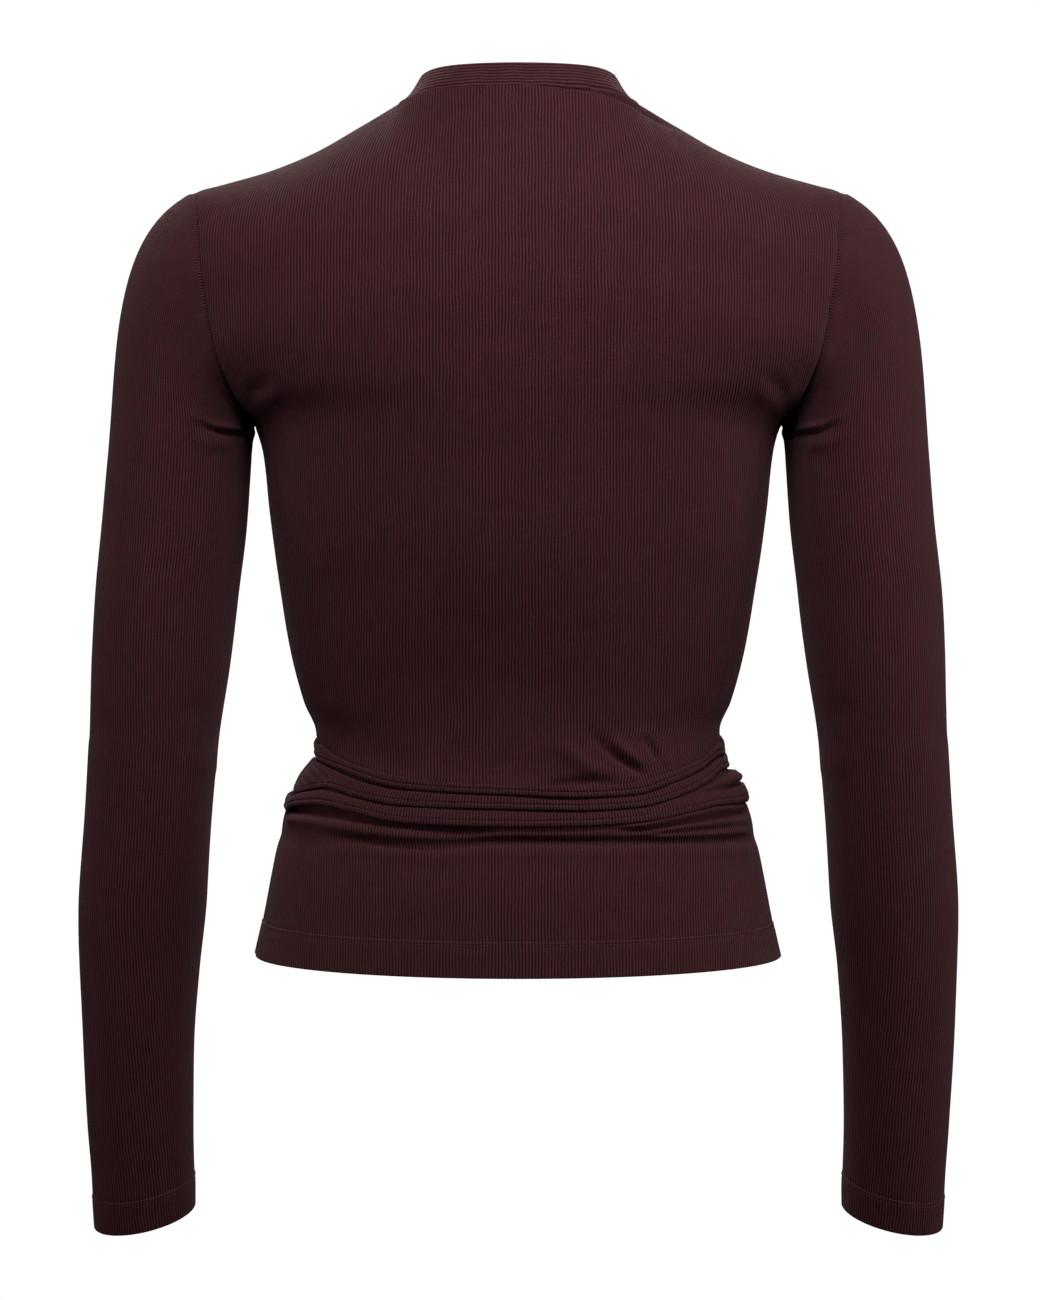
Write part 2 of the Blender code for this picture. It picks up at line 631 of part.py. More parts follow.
def tie_turns(table):
    """Turns at which a tie has a section: its two ends and every column that it passes."""
    turns = column(table, "turn")
    spacing = 360 / COLUMNS_ROUND
    first, last = min(turns), max(turns)
    inside = np.arange(math.ceil(first / spacing + 0.2), math.floor(last / spacing - 0.2) + 1) * spacing
    return [first, *inside, last]


def tie(grids, table):
    """Strip of doubled cloth round the waist, slightly domed across its width."""
    outer, inner = [], []
    for turn in tie_turns(table):
        top = float(read(table, "turn", "top", turn)) - BAND_GAP / 2
        bottom = float(read(table, "turn", "bottom", turn)) + BAND_GAP / 2
        stand = float(read(table, "turn", "stand", turn))
        heights = np.linspace(bottom, top, 3)
        inner.append([on_skin(grids, turn, height, TIE_GAP) for height in heights])
        outer.append([on_skin(grids, turn, height, TIE_GAP + TIE_WALL * dome + stand * part)
                      for height, dome, part in zip(heights, TIE_DOME, STAND_ACROSS)])
    return np.array(outer), np.array(inner)


def tie_end(grids, side):
    """Free end of a tie, hanging below the knot in front of the cloth."""
    half = math.degrees(TIE_END_WIDTH / 2 / FRONT_RADIUS)
    outer, inner = [], []
    for t in np.linspace(0, 1, TIE_END_STEPS + 1):
        height = KNOT_HEIGHT - KNOT_SIZE[2] - TIE_END_DROP - TIE_END_LENGTH * t
        stand = TIE_END_STAND + TIE_END_LIFT * (1 - t) ** 6
        middle = 180 + side * (TIE_END_TURN + TIE_END_SPREAD * t)
        turns = (middle - half, middle, middle + half)
        inner.append([on_skin(grids, turn, height, stand) for turn in turns])
        outer.append([on_skin(grids, turn, height, stand + TIE_WALL) for turn in turns])
    return np.array(outer), np.array(inner)


def knot(grids):
    """Rounded knot over the tie that passes behind it."""
    stand = TIE_GAP + TIE_WALL + TIE_GAP + KNOT_SIZE[1]
    centre = on_skin(grids, 180, KNOT_HEIGHT, stand)
    bpy.ops.mesh.primitive_uv_sphere_add(segments=16, ring_count=10, radius=1.0)
    ball = bpy.context.object
    mesh = ball.data
    for vertex in mesh.vertices:
        for axis in range(3):
            vertex.co[axis] = vertex.co[axis] * KNOT_SIZE[axis] + centre[axis]
    bpy.data.objects.remove(ball)
    return add_object("tie_knot", mesh, TIE_JERSEY)


# ---------------------------------------------------------------- the garment

def clear_scene():
    for thing in list(bpy.data.objects):
        bpy.data.objects.remove(thing, do_unlink=True)


def mirrored(grid):
    return grid * np.array([-1.0, 1.0, 1.0])


def build():
    clear_scene()
    bpy.context.scene.collection.children.link(bpy.data.collections.new(COLLECTION))
    grids = {"back": back_panel(), "front_left": front_panel(True), "front_right": front_panel(False)}
    for name, grid in grids.items():
        wall(name, *grid, JERSEY)
    outer, inner = sleeve(grids)
    wall("sleeve_left", outer, inner, JERSEY, round_closed=True)
    wall("sleeve_right", mirrored(outer), mirrored(inner), JERSEY, round_closed=True)
    wall("neckband", *neckband(), BAND_JERSEY)
    wall("tie_left", *tie(grids, LEFT_TIE), TIE_JERSEY)
    wall("tie_right", *tie(grids, RIGHT_TIE), TIE_JERSEY)
    for name, side in (("tie_end_left", -1), ("tie_end_right", 1)):
        wall(name, *tie_end(grids, side), TIE_JERSEY)
    knot(grids)


build()
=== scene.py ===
"""Looks of a long-sleeved wrap top in fine rib jersey: its cloth, sewing, ties, ribs and stage.

Metres, +Z up. The wearer faces -Y, so +X is the wearer's left. Turns run round the body in degrees: 0 is the
centre back, 90 the wearer's left side and 180 the centre front.
"""

import math
from collections import namedtuple

import bpy
import numpy as np
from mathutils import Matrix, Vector


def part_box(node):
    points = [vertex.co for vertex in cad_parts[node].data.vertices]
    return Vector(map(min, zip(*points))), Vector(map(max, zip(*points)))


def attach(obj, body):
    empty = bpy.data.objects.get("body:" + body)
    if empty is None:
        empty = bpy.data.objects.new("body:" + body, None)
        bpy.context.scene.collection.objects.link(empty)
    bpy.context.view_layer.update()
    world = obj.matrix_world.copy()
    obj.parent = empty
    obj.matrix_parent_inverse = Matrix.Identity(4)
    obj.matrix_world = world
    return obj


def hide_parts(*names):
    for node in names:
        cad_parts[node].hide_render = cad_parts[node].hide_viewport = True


bl_info = {
    "name": "Wrap top",
    "version": (1, 0, 0),
    "blender": (4, 5, 0),
    "location": "3D View > Sidebar > Wrap top",
    "description": "Dresses the solids of a wrap top in rib jersey",
    "category": "Object",
}

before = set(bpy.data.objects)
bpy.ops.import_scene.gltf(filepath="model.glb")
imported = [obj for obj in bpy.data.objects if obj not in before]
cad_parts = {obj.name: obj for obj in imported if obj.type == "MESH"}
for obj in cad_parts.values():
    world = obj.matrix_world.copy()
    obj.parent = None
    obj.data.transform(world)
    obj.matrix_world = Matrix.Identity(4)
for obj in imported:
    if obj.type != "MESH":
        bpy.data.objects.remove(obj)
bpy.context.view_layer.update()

MM = 0.001
BODY = "root"
NUDGE = 1e-3            # change of share or level over which the worn surface's slope is read

# Worn form
HEM_HEIGHT = -0.4920
HEM_DIP = 0.0066        # how much lower the back's hem hangs in its middle
DIP_START = -0.43       # height below which that begins
UNDERARM_HEIGHT = -0.187
UNDERARM_LEVEL = 0.6    # level of the underarm; 0 is the hem and 1 the shoulder seam
YOKE_LEVEL = 0.84       # level from which the cloth curves over to its top edge
NECK_SHARE = 0.4        # share of a panel's width that ends in the neckline
NECK_EASE = 0.28        # share over which the neckline's corners are eased at the yoke
NECK_POINT = (0.069, 0.012, 0.0)
SHOULDER_POINT = (0.188, 0.008, -0.051)
WRAP_SHARE = 0.8        # how far past the middle a front crosses at the waist
LAYER = 0.0032          # how far the outer front stands off the inner one
LAYER_SIDE = 0.1        # share beside the side seam over which that fades out
LAYER_NECK = 0.16       # level below the shoulder seam over which it does
BUST_PLACE = (0.080, -0.214)
BUST_SPREAD = (0.047, 0.050)
BUST_DEPTH = 0.021
SHARE_SPAN = 0.11       # metres that one unit of share covers near a panel's side edges
TURN_SPAN = 1.9         # millimetres that one degree covers round the waist
FOLD_SPAN = 1.75        # the same where the cloth bags over the ties
FRONT_SPAN = 0.105      # metres that one radian of turn covers at the centre front

# Rows and columns of the cloth, as pairs of an end and the longest step up to it
PANEL_HEIGHTS = ((HEM_HEIGHT, 0), (-0.488, 0.0012), (-0.4765, 0.0030), (-0.4665, 0.0007), (-0.440, 0.0026),
                 (-0.372, 0.00090), (-0.345, 0.0021), (UNDERARM_HEIGHT, 0.0040))
YOKE_LEVELS = ((UNDERARM_LEVEL, 0), (0.90, 0.0105), (0.955, 0.0038), (1.0, 0.0014))
BACK_SHARES = ((0.0, 0), (0.30, 0.0172), (0.34, 0.0100), (0.54, 0.0068), (0.93, 0.0172), (1.0, 0.0075))
FRONT_SHARES = ((0.0, 0), (0.93, 0.0115), (1.0, 0.0068))    # from the wrap edge, 0, to the side, 1

# Seams and hems
SEAM_DEPTH = 0.0007
SEAM_REACH = 0.0016
ALLOWANCE_SHARE = 0.22  # rise over a seam's allowance, as a share of the seam's depth
ALLOWANCE_PLACE = 2.6   # how far from the seam that is and how wide, in reaches of the seam
ALLOWANCE_WIDTH = 1.5
UNDERARM_TUCK = (0.04, 0.09, 1.2)   # level above the underarm, spread and strength of the deeper side seam
HEM_RISE = 0.0004       # how far a hem's doubled cloth stands off
HEM_FALL = 0.002        # distance over which that ends above the seam
HEM_ROW = 10            # row of a panel whose normals its hem's stitches take
NEEDLE_DIP = 0.0005
NEEDLE_WIDTH = 0.0007
TUNNEL_RISE = 0.00025   # rise between the two rows of a twin-needle seam
TUNNEL_WIDTH = 0.0008

# Stitches
THREAD = 0.00042        # width and height of the sewing thread
THREAD_SINK = 0.00005   # how far it is drawn into the cloth
THREAD_ROOT = 0.0003    # how far its sides reach into it
STITCH_START = 0.2      # gap before a stitch and length of it, as shares of the stitch length
STITCH_SHARE = 0.72
STITCH_AHEAD = 0.0001   # step over which the way of the seam is read
STITCH_PROFILE = ((0.0, 0.2), (0.22, 1.0), (0.78, 1.0), (1.0, 0.2))     # shares of its length and height

# Give of the cloth at the waist
BACK_FADE = 0.05        # share beside the side seams over which the back's creases end
FRONT_FADE = 0.1        # the same on the outer front
FOLD_FADE = 0.14        # share of a waist fold's length over which it ends
FOLD_LOW = (-0.445, -0.436)     # heights over which the waist folds begin and end
FOLD_HIGH = (-0.402, -0.396)
UNDER_TIE = (-0.0010, 0.0006)   # distances inside a tie's edge over which the cloth gives way under it
BACK_GIVE = 0.0006      # how far it does so
FRONT_GIVE = 0.0005

Pull = namedtuple("Pull", "turn turn_spread height height_spread depth")
WAIST_PULL = Pull(92, 17, -0.3765, 0.0105, 0.0032)

Section = namedtuple("Section", "height side back front")
BODY_SECTIONS = (
    Section(-0.4920, 0.1518, 0.106, -0.112),
    Section(-0.470, 0.1468, 0.102, -0.109),
    Section(-0.445, 0.1420, 0.096, -0.106),
    Section(-0.430, 0.1388, 0.089, -0.103),
    Section(-0.423, 0.1365, 0.083, -0.101),
    Section(-0.416, 0.1356, 0.0835, -0.100),
    Section(-0.405, 0.1325, 0.0775, -0.098),
    Section(-0.392, 0.1255, 0.0720, -0.096),
    Section(-0.378, 0.1190, 0.0690, -0.095),
    Section(-0.362, 0.1166, 0.0680, -0.0945),
    Section(-0.345, 0.1232, 0.0695, -0.095),
    Section(-0.315, 0.1312, 0.0765, -0.097),
    Section(-0.281, 0.1370, 0.085, -0.101),
    Section(-0.234, 0.1436, 0.094, -0.108),
    Section(-0.200, 0.1474, 0.099, -0.111),
    Section(-0.187, 0.1512, 0.101, -0.110),
)

Yoke = namedtuple("Yoke", "level edge_x edge_y edge_z mid_y mid_z turn")
BACK_YOKE = (
    Yoke(0.66, 0.1625, 0.038, -0.172, 0.104, -0.158, 80),
    Yoke(0.75, 0.1735, 0.057, -0.142, 0.105, -0.117, 64),
    Yoke(0.84, 0.1798, 0.055, -0.106, 0.099, -0.074, 52),
)
FRONT_YOKE = (
    Yoke(0.66, 0.1575, -0.030, -0.172, -0.106, -0.164, 80),
    Yoke(0.75, 0.1630, -0.050, -0.142, -0.094, -0.133, 64),
    Yoke(0.84, 0.1705, -0.052, -0.104, -0.079, -0.102, 52),
)

Arrival = namedtuple("Arrival", "share x y z")
BACK_ARRIVAL = (
    Arrival(0.00, 0.000, -0.024, 0.062),
    Arrival(0.25, -0.012, -0.032, 0.055),
    Arrival(0.40, -0.022, -0.062, 0.030),
    Arrival(0.60, 0.000, -0.075, 0.000),
    Arrival(1.00, 0.012, -0.062, 0.000),
)
FRONT_ARRIVAL = (
    Arrival(0.00, 0.000, 0.020, 0.030),
    Arrival(0.25, -0.008, 0.036, 0.034),
    Arrival(0.40, -0.014, 0.062, 0.018),
    Arrival(0.60, 0.000, 0.072, 0.000),
    Arrival(1.00, -0.012, 0.060, 0.000),
)

Shoulder = namedtuple("Shoulder", "x z")
SHOULDER_LINE = (
    Shoulder(0.069, 0.000),
    Shoulder(0.092, -0.0138),
    Shoulder(0.116, -0.0276),
    Shoulder(0.144, -0.0390),
    Shoulder(0.168, -0.0458),
    Shoulder(0.188, -0.0510),
)

Wrap = namedtuple("Wrap", "level share")
WRAP_EDGE = (
    Wrap(0.00, -WRAP_SHARE),
    Wrap(0.29, -WRAP_SHARE),
    Wrap(0.38, -0.480),
    Wrap(0.48, -0.290),
    Wrap(0.60, -0.140),
    Wrap(0.75, 0.015),
    Wrap(0.84, 0.095),
    Wrap(0.93, 0.200),
    Wrap(1.00, NECK_SHARE),
)

# Neckband
BAND_HEIGHT = 0.0142
BAND_END_LEVEL = 0.30
BAND_SEAM = 0.0004      # gap at its seam
BAND_ROWS = 15
BAND_COLUMNS = 61       # across the back neck
BAND_LEVELS = ((1.0, 0), (0.94, 0.003), (0.84, 0.007), (BAND_END_LEVEL, 0.012))
BandTop = namedtuple("BandTop", "x y reach z drop")
BAND_TOP = BandTop(0.0564, 0.012, 0.046, 0.0182, 0.0030)    # upper edge round the back neck
BAND_SWELL = 0.0005     # how far the doubled band is padded out
BAND_DIP = 0.0004       # how far it is drawn in at its seam
BAND_DIP_REACH = 0.12   # share of its height that this takes in
RIGHT_DIP = 0.0014      # how much further it is drawn in on the wearer's right of the back neck
RIGHT_DIP_SPAN = (0.012, 0.034)     # distances from the middle over which that begins
BACK_NECK = (-0.02, 0.0)            # places from front to back over which it ends
PINCH = 0.0020          # how far the band is drawn in beside the neck
PINCH_PLACE = 0.067     # distance from the middle where that is
PINCH_WIDTH = 0.010
BAND_SHADE = 1.04       # shade against the body's
SIDE_NECK = (-0.03, -0.01)          # places from front to back over which it ends
BAND_EASE_LEVELS = (1.0, 0.96, 0.92, 0.88, 0.84)    # levels at which the band's stand is stated
BAND_EASE = (1.0, 0.85, 0.55, 0.22, 0.0)            # how much of it is left there

# Sleeves
CAP_WAY = (0.966, 0.0, -0.259)      # way in which a sleeve's head leaves the armhole
CAP_LEAN = 0.36         # how much it leans to the armhole's middle
CAP_START = (0.007, 0.105)      # pull of the curve at the armhole, at the underarm and on top
CAP_END = (0.026, 0.200)        # the same where the head meets the arm
CROWN = 0.0066          # fullness on top of the head
SLEEVE_COLUMNS = 132
HEAD_PLACES = np.concatenate([[0.0, 0.008, 0.018, 0.032], np.linspace(0.046, 0.4, 26)[:-1],
                              np.linspace(0.4, 1, 26)[:-1]])    # share of the head from armhole to arm
HEAD_TUCK = 0.0009      # depth of the armhole's seam
LOW_TUCK = (0.5, 1.3)   # how far up from the underarm it is deeper, and by how much
FACING = 0.2            # part of the turn from back to front over which creases change sides
FRONT_SHARE = 0.8       # strength of the creases on the sleeve's front
SWAY = 0.0005           # how far the sleeve's cloth wavers
SWAY_LENGTHS = (31, 17.3, 60)   # millimetres of height over which it does
SWAY_START = (0.04, 0.12)       # distances below the armhole over which that begins
SWAY_END = (0.02, 0.06)         # distances above the cuff over which it ends
SWAY_PHASES = {1: 0.0, -1: 1.7}     # what sets the left sleeve's and the right one's apart
SLEEVE_PITCH = 0.93     # rib pitch, as a share of the body's
CUFF_ROW = -16          # row of the sleeve whose normals its cuff's stitches take
Arm = namedtuple("Arm", "height x y half_width half_depth slope")
ARM = (
    Arm(-0.205, 0.1965, 0.000, 0.0416, 0.0500, 0.00),
    Arm(-0.240, 0.1990, 0.002, 0.0418, 0.0492, 0.00),
    Arm(-0.280, 0.2033, 0.004, 0.0414, 0.0480, 0.00),
    Arm(-0.320, 0.2068, 0.005, 0.0400, 0.0462, 0.00),
    Arm(-0.365, 0.2110, 0.004, 0.0375, 0.0440, 0.00),
    Arm(-0.410, 0.2145, 0.001, 0.0368, 0.0428, 0.00),
    Arm(-0.455, 0.2178, -0.003, 0.0372, 0.0418, 0.00),
    Arm(-0.500, 0.2203, -0.008, 0.0350, 0.0396, 0.00),
    Arm(-0.545, 0.2212, -0.013, 0.0325, 0.0370, 0.00),
    Arm(-0.590, 0.2207, -0.019, 0.0309, 0.0348, 0.00),
    Arm(-0.623, 0.2195, -0.0245, 0.0301, 0.0335, 0.05),
    Arm(-0.6460, 0.2190, -0.0293, 0.0301, 0.0330, 0.19),
)
SLEEVE_HEIGHTS = ((ARM[0].height, 0), (-0.33, 0.0036), (-0.40, 0.0030), (-0.620, 0.0042), (-0.636, 0.0008),
                  (ARM[-1].height, 0.0012))

# Where the edges of the ties run and how far they stand off the cloth below
Tie = namedtuple("Tie", "turn top bottom stand")
LEFT_TIE = (
    Tie(-172, -0.3765, -0.3840, 0.0),
    Tie(-150, -0.3728, -0.3804, 0.0),
    Tie(-120, -0.3716, -0.3796, 0.0),
    Tie(-90, -0.3758, -0.3838, 0.0),
    Tie(-75, -0.3773, -0.3848, 0.0),
    Tie(-60, -0.3842, -0.3913, 0.0),
    Tie(-45, -0.3916, -0.3988, 0.0),
    Tie(-30, -0.3988, -0.4050, 0.0),
    Tie(-15, -0.4003, -0.4069, 0.0),
    Tie(0, -0.3988, -0.4062, 0.0),
    Tie(30, -0.3954, -0.4038, 0.0),
    Tie(45, -0.3906, -0.3996, 0.0),
    Tie(60, -0.3842, -0.3950, 0.0),
    Tie(75, -0.3802, -0.3977, 0.0004),
    Tie(90, -0.3788, -0.4000, 0.0008),
    Tie(98, -0.3775, -0.3970, 0.0004),
)
RIGHT_TIE = (
    Tie(-108, -0.3868, -0.4020, 0.0010),
    Tie(-97, -0.3864, -0.4034, 0.0032),
    Tie(-90, -0.3862, -0.4040, 0.0038),
    Tie(-80, -0.3864, -0.4040, 0.0031),
    Tie(-70, -0.3886, -0.4042, 0.0014),
    Tie(-60, -0.3920, -0.4047, 0.0),
    Tie(-45, -0.3996, -0.4088, 0.0),
    Tie(-30, -0.4057, -0.4132, 0.0),
    Tie(-15, -0.4076, -0.4152, 0.0),
    Tie(0, -0.4070, -0.4156, 0.0),
    Tie(30, -0.4045, -0.4132, 0.0),
    Tie(45, -0.4000, -0.4080, 0.0),
    Tie(60, -0.3960, -0.4046, 0.0),
    Tie(75, -0.3985, -0.4060, 0.0003),
    Tie(90, -0.4008, -0.4090, 0.0005),
    Tie(105, -0.3980, -0.4062, 0.0003),
    Tie(120, -0.3884, -0.3964, 0.0),
    Tie(150, -0.3730, -0.3808, 0.0),
    Tie(180, -0.3645, -0.3720, 0.0),
    Tie(210, -0.3612, -0.3686, 0.0),
    Tie(240, -0.3614, -0.3694, 0.0),
    Tie(270, -0.3676, -0.3757, 0.0),
    Tie(285, -0.3698, -0.3766, 0.0),
    Tie(300, -0.3783, -0.3835, 0.0),
    Tie(315, -0.3846, -0.3909, 0.0),
    Tie(330, -0.3906, -0.3981, 0.0),
    Tie(345, -0.3932, -0.3995, 0.0),
    Tie(360, -0.3924, -0.3980, 0.0),
    Tie(390, -0.3879, -0.3947, 0.0),
    Tie(420, -0.3770, -0.3835, 0.0),
    Tie(435, -0.3696, -0.3795, 0.0),
    Tie(450, -0.3700, -0.3784, 0.0),
    Tie(480, -0.3580, -0.3662, 0.0),
    Tie(510, -0.3548, -0.3624, 0.0),
    Tie(532, -0.3560, -0.3630, 0.0),
)
STAND_ACROSS = (0.35, 0.6, 1.0)     # share of its stand at a tie's lower edge, middle and upper edge
TIE_AIR = 0.0004        # air under a tie
TIE_STEP = 1.3          # degrees between two sections of a tie
TIE_ROWS = 29           # rows over its outer face
TIE_BACK_ROWS = 9
TIE_ROW_MIX = (0.55, 0.45)      # how far the rows gather at its edges, and how far they are even
TIE_INSET = 0.0002
TIE_SINK = 0.0004       # how far its back is pressed into the cloth
TIE_LEAST = 0.0003
TIE_DOME = (0.12, 0.88)     # thickness at its edges, and what is added in its middle, as shares
DOME_POWER = 3.6        # how flat its middle is, and how flat where it stands off
STAND_POWER = 5
TIE_RIPPLE = 0.00012    # unevenness of its face, and its waves along and across
RIPPLE_WAVES = (2.3, 5)
TOP_WAVES = ((0.00022, 9.0, 0.0), (0.00014, 3.7, 1.0))      # depth, length and start of the waves of its edges
BOTTOM_WAVES = ((0.00020, 11.0, 2.0),)
SEWN_DIP = 0.0009       # depth and width of its sewn line
SEWN_WIDTH = 0.00048
STITCH_SINK = 0.00055   # how far the stitches there lie below its face
TIE_FADE = 0.12         # share of a fold's length over which it ends
TIE_SHADE = 0.9         # shade against the body's
SEWN_ENDS = (6, 2)      # degrees left unsewn at its start and its end
SEWN_POINTS = 400

# Knot and free ends
KNOT_COLUMNS = 64
KNOT_ROWS = 41
KNOT_POLE = 0.02        # angle left open at its top and bottom
KNOT_POWER = 0.88       # below 1 the knot is a little square
KNOT_SIZE = 0.99
KNOT_LEAN = 0.55        # slant of the grooves between its folds
KNOT_GROOVES = (0.36, -0.40)    # heights of the grooves, as shares of its half height
KNOT_DEPTH = -0.17      # their depth and width
KNOT_WIDTH = 0.11
KNOT_CROSS = -0.05      # depth and width of the groove that crosses them
CROSS_WIDTH = 0.16
KNOT_RIPPLE = 0.03      # unevenness of its face
END_LENGTH = 0.105
END_WIDTH = 0.009
END_THICKNESS = 0.0015
END_CORE = 0.0004       # thickness that it has all over besides
END_DOME = (0.3, 0.7)   # thickness at its edges, and what is added in its middle, as shares
END_NARROW = (0.55, 0.45)       # width at the knot, and what opens out below it, as shares
END_CURL = (0.0, 0.15)  # part of its length over which it opens out
END_COLUMNS = 60
END_ROWS = 13
END_OFFSET = 1.9        # degrees from the centre front at which an end leaves the knot
END_OPENING = 1.5       # degrees by which it opens out below the knot
END_SLANT = 5.3         # degrees by which it slants away down to its tip
END_SWING = 0.5         # degrees by which it swings to and fro
END_LIFT = 0.0078       # how far it stands off at the knot
END_WAVE = 0.0006

# Creases of the cloth, in millimetres. A path runs over the cloth as it is seen square on from its side.
# Depth is below zero for a trough and above it for a ridge; width is half of the crease's width.
Crease = namedtuple("Crease", "path width depth")
BACK_CREASES = (
    Crease(((-37, -358), (-45, -366), (-57, -377), (-69, -384), (-78, -390)), 2.5, -3.6),
    Crease(((-70, -364), (-76, -371), (-80, -380)), 2.6, -2.4),
    Crease(((-12, -392), (-32, -389.5), (-46, -389.5), (-62, -392)), 2.6, -3.4),
    Crease(((-22, -366), (-32, -376), (-41, -382.5), (-52, -386)), 4.2, 2.5),
    Crease(((-51, -364), (-63, -375), (-73, -383)), 3.2, 2.4),
    Crease(((-80, -366), (-83, -376), (-86, -384)), 4.0, 1.1),
    Crease(((156, -171), (148, -166.5), (138, -162)), 2.8, -2.9),
    Crease(((155, -177), (146, -174), (134, -171.5)), 2.2, 2.4),
    Crease(((153, -184), (142, -181), (130, -178)), 2.6, -2.4),
    Crease(((-154, -171), (-148, -166), (-138, -160)), 2.8, -2.8),
    Crease(((-154, -178), (-146, -175), (-134, -172)), 2.4, 2.0),
    Crease(((118, -362), (108, -367), (96, -374), (76, -381), (50, -386)), 14.0, -3.6),
    Crease(((60, -380), (20, -387), (-20, -388), (-56, -383)), 15.0, -2.0),
    Crease(((-106, -340), (-98, -352), (-90, -364)), 5.0, -0.7),
    Crease(((-70, -258), (0, -262), (70, -258)), 34.0, 1.9),
    Crease(((112, -170), (108, -215), (106, -250), (104, -285)), 26.0, 2.3),
    Crease(((-112, -170), (-108, -215), (-106, -250), (-104, -285)), 26.0, 2.3),
    Crease(((60, -470), (64, -450), (70, -434)), 9.0, 0.6),
    Crease(((-52, -474), (-60, -450), (-64, -434)), 9.0, -0.5),
    Crease(((-8, 4.4), (-19, 4.2), (-30, 4.0), (-40.7, 3.4), (-51.6, 1.2), (-62, -1.6), (-70, -4.6),
            (-82, -11.6), (-96, -20)), 1.35, -2.3),
)
FRONT_CREASES = (
    Crease(((60, -258), (42, -298), (28, -342)), 6.5, -1.9),
    Crease(((96, -262), (84, -300), (68, -348)), 6.5, -1.7),
    Crease(((78, -270), (62, -305), (50, -345)), 6.0, 1.3),
    Crease(((-66, -262), (-54, -300), (-44, -345)), 6.0, -1.6),
    Crease(((-92, -262), (-84, -300), (-76, -342)), 6.0, -1.2),
    Crease(((14, -292), (-20, -326), (-62, -350)), 5.0, -1.9),
    Crease(((40, -316), (0, -338), (-46, -360)), 4.6, 1.6),
    Crease(((60, -338), (20, -352), (-20, -362)), 4.2, -1.4),
    Crease(((138, -196), (124, -204), (108, -206)), 4.0, -1.7),
    Crease(((-138, -196), (-124, -205), (-106, -208)), 4.0, -1.7),
    Crease(((142, -170), (132, -160), (122, -142)), 4.0, -1.3),
    Crease(((-142, -170), (-132, -160), (-122, -142)), 4.0, -1.3),
    Crease(((26, -398), (34, -420), (50, -452)), 5.0, -1.8),
    Crease(((44, -398), (56, -418), (70, -440)), 4.5, 1.2),
    Crease(((-26, -398), (-40, -420), (-60, -454)), 5.0, -1.6),
    Crease(((78, -396), (88, -420), (96, -448)), 5.0, -1.5),
    Crease(((-70, -396), (-82, -420), (-92, -446)), 5.0, -1.2),
)
SLEEVE_CREASES = (
    Crease(((184, -183.5), (177, -188.5), (169, -191.5), (154, -192)), 1.3, -2.6),
    Crease(((191, -178), (182, -184), (174, -187.5), (156, -188.5)), 1.5, 2.4),
    Crease(((194, -190), (184, -195), (174, -198), (162, -198)), 3.0, 1.1),
    Crease(((182, -212), (174, -206), (166, -202)), 4.0, -0.9),
    Crease(((190, -345), (182, -352), (176, -356)), 6.0, -1.1),
    Crease(((188, -372), (182, -380), (178, -390)), 6.0, 0.9),
    Crease(((232, -352), (240, -360), (246, -372)), 7.0, -0.7),
)

# Soft folds of the cloth that bags over the ties, by turn and height in millimetres
WAIST_FOLDS = (
    Crease(((96, -407), (80, -406.6), (67, -406.6), (51, -408.4), (40, -411.6), (31, -414.0), (23, -415.9),
            (12, -417.6), (4, -418.2)), 2.5, -5.6),
    Crease(((14, -417.9), (0, -417.6), (-14, -417.4), (-30, -415.4)), 0.8, -1.2),
    Crease(((-22, -417.8), (-32, -416.9), (-38, -415.2), (-45, -412.9), (-52, -411.6), (-60, -410.2),
            (-70, -408.6), (-84, -408.2)), 1.4, -4.0),
    Crease(((-24, -416.2), (-32, -414.6), (-38, -412.7), (-48.6, -408.9), (-57, -406.8),
            (-70, -406.0)), 1.1, 2.2),
    Crease(((-34, -419.6), (-44, -418.6), (-55, -417.4), (-66, -416.6)), 1.1, -1.5),
    Crease(((56, -421.2), (49, -422.0), (39, -423.3), (29, -425.4), (23, -426.6), (16, -425.4), (8, -423.4),
            (0, -423.0), (-15, -423.6), (-40, -423.6), (-78, -423.4)), 2.0, -3.4),
    Crease(((84, -413), (60, -413.7), (44, -417.0), (30, -420.2), (14, -421.6)), 3.0, 2.0),
    Crease(((-26, -420.0), (-44, -415.6), (-62, -413.6), (-80, -413.6)), 1.4, 1.0),
    Crease(((-30, -421.6), (-50, -420.8), (-78, -419.6)), 1.6, 1.1),
    Crease(((60, -428), (38, -429.5), (23, -432.0), (0, -429.5), (-30, -430.0), (-78, -430.0)), 4.0, 1.4),
)

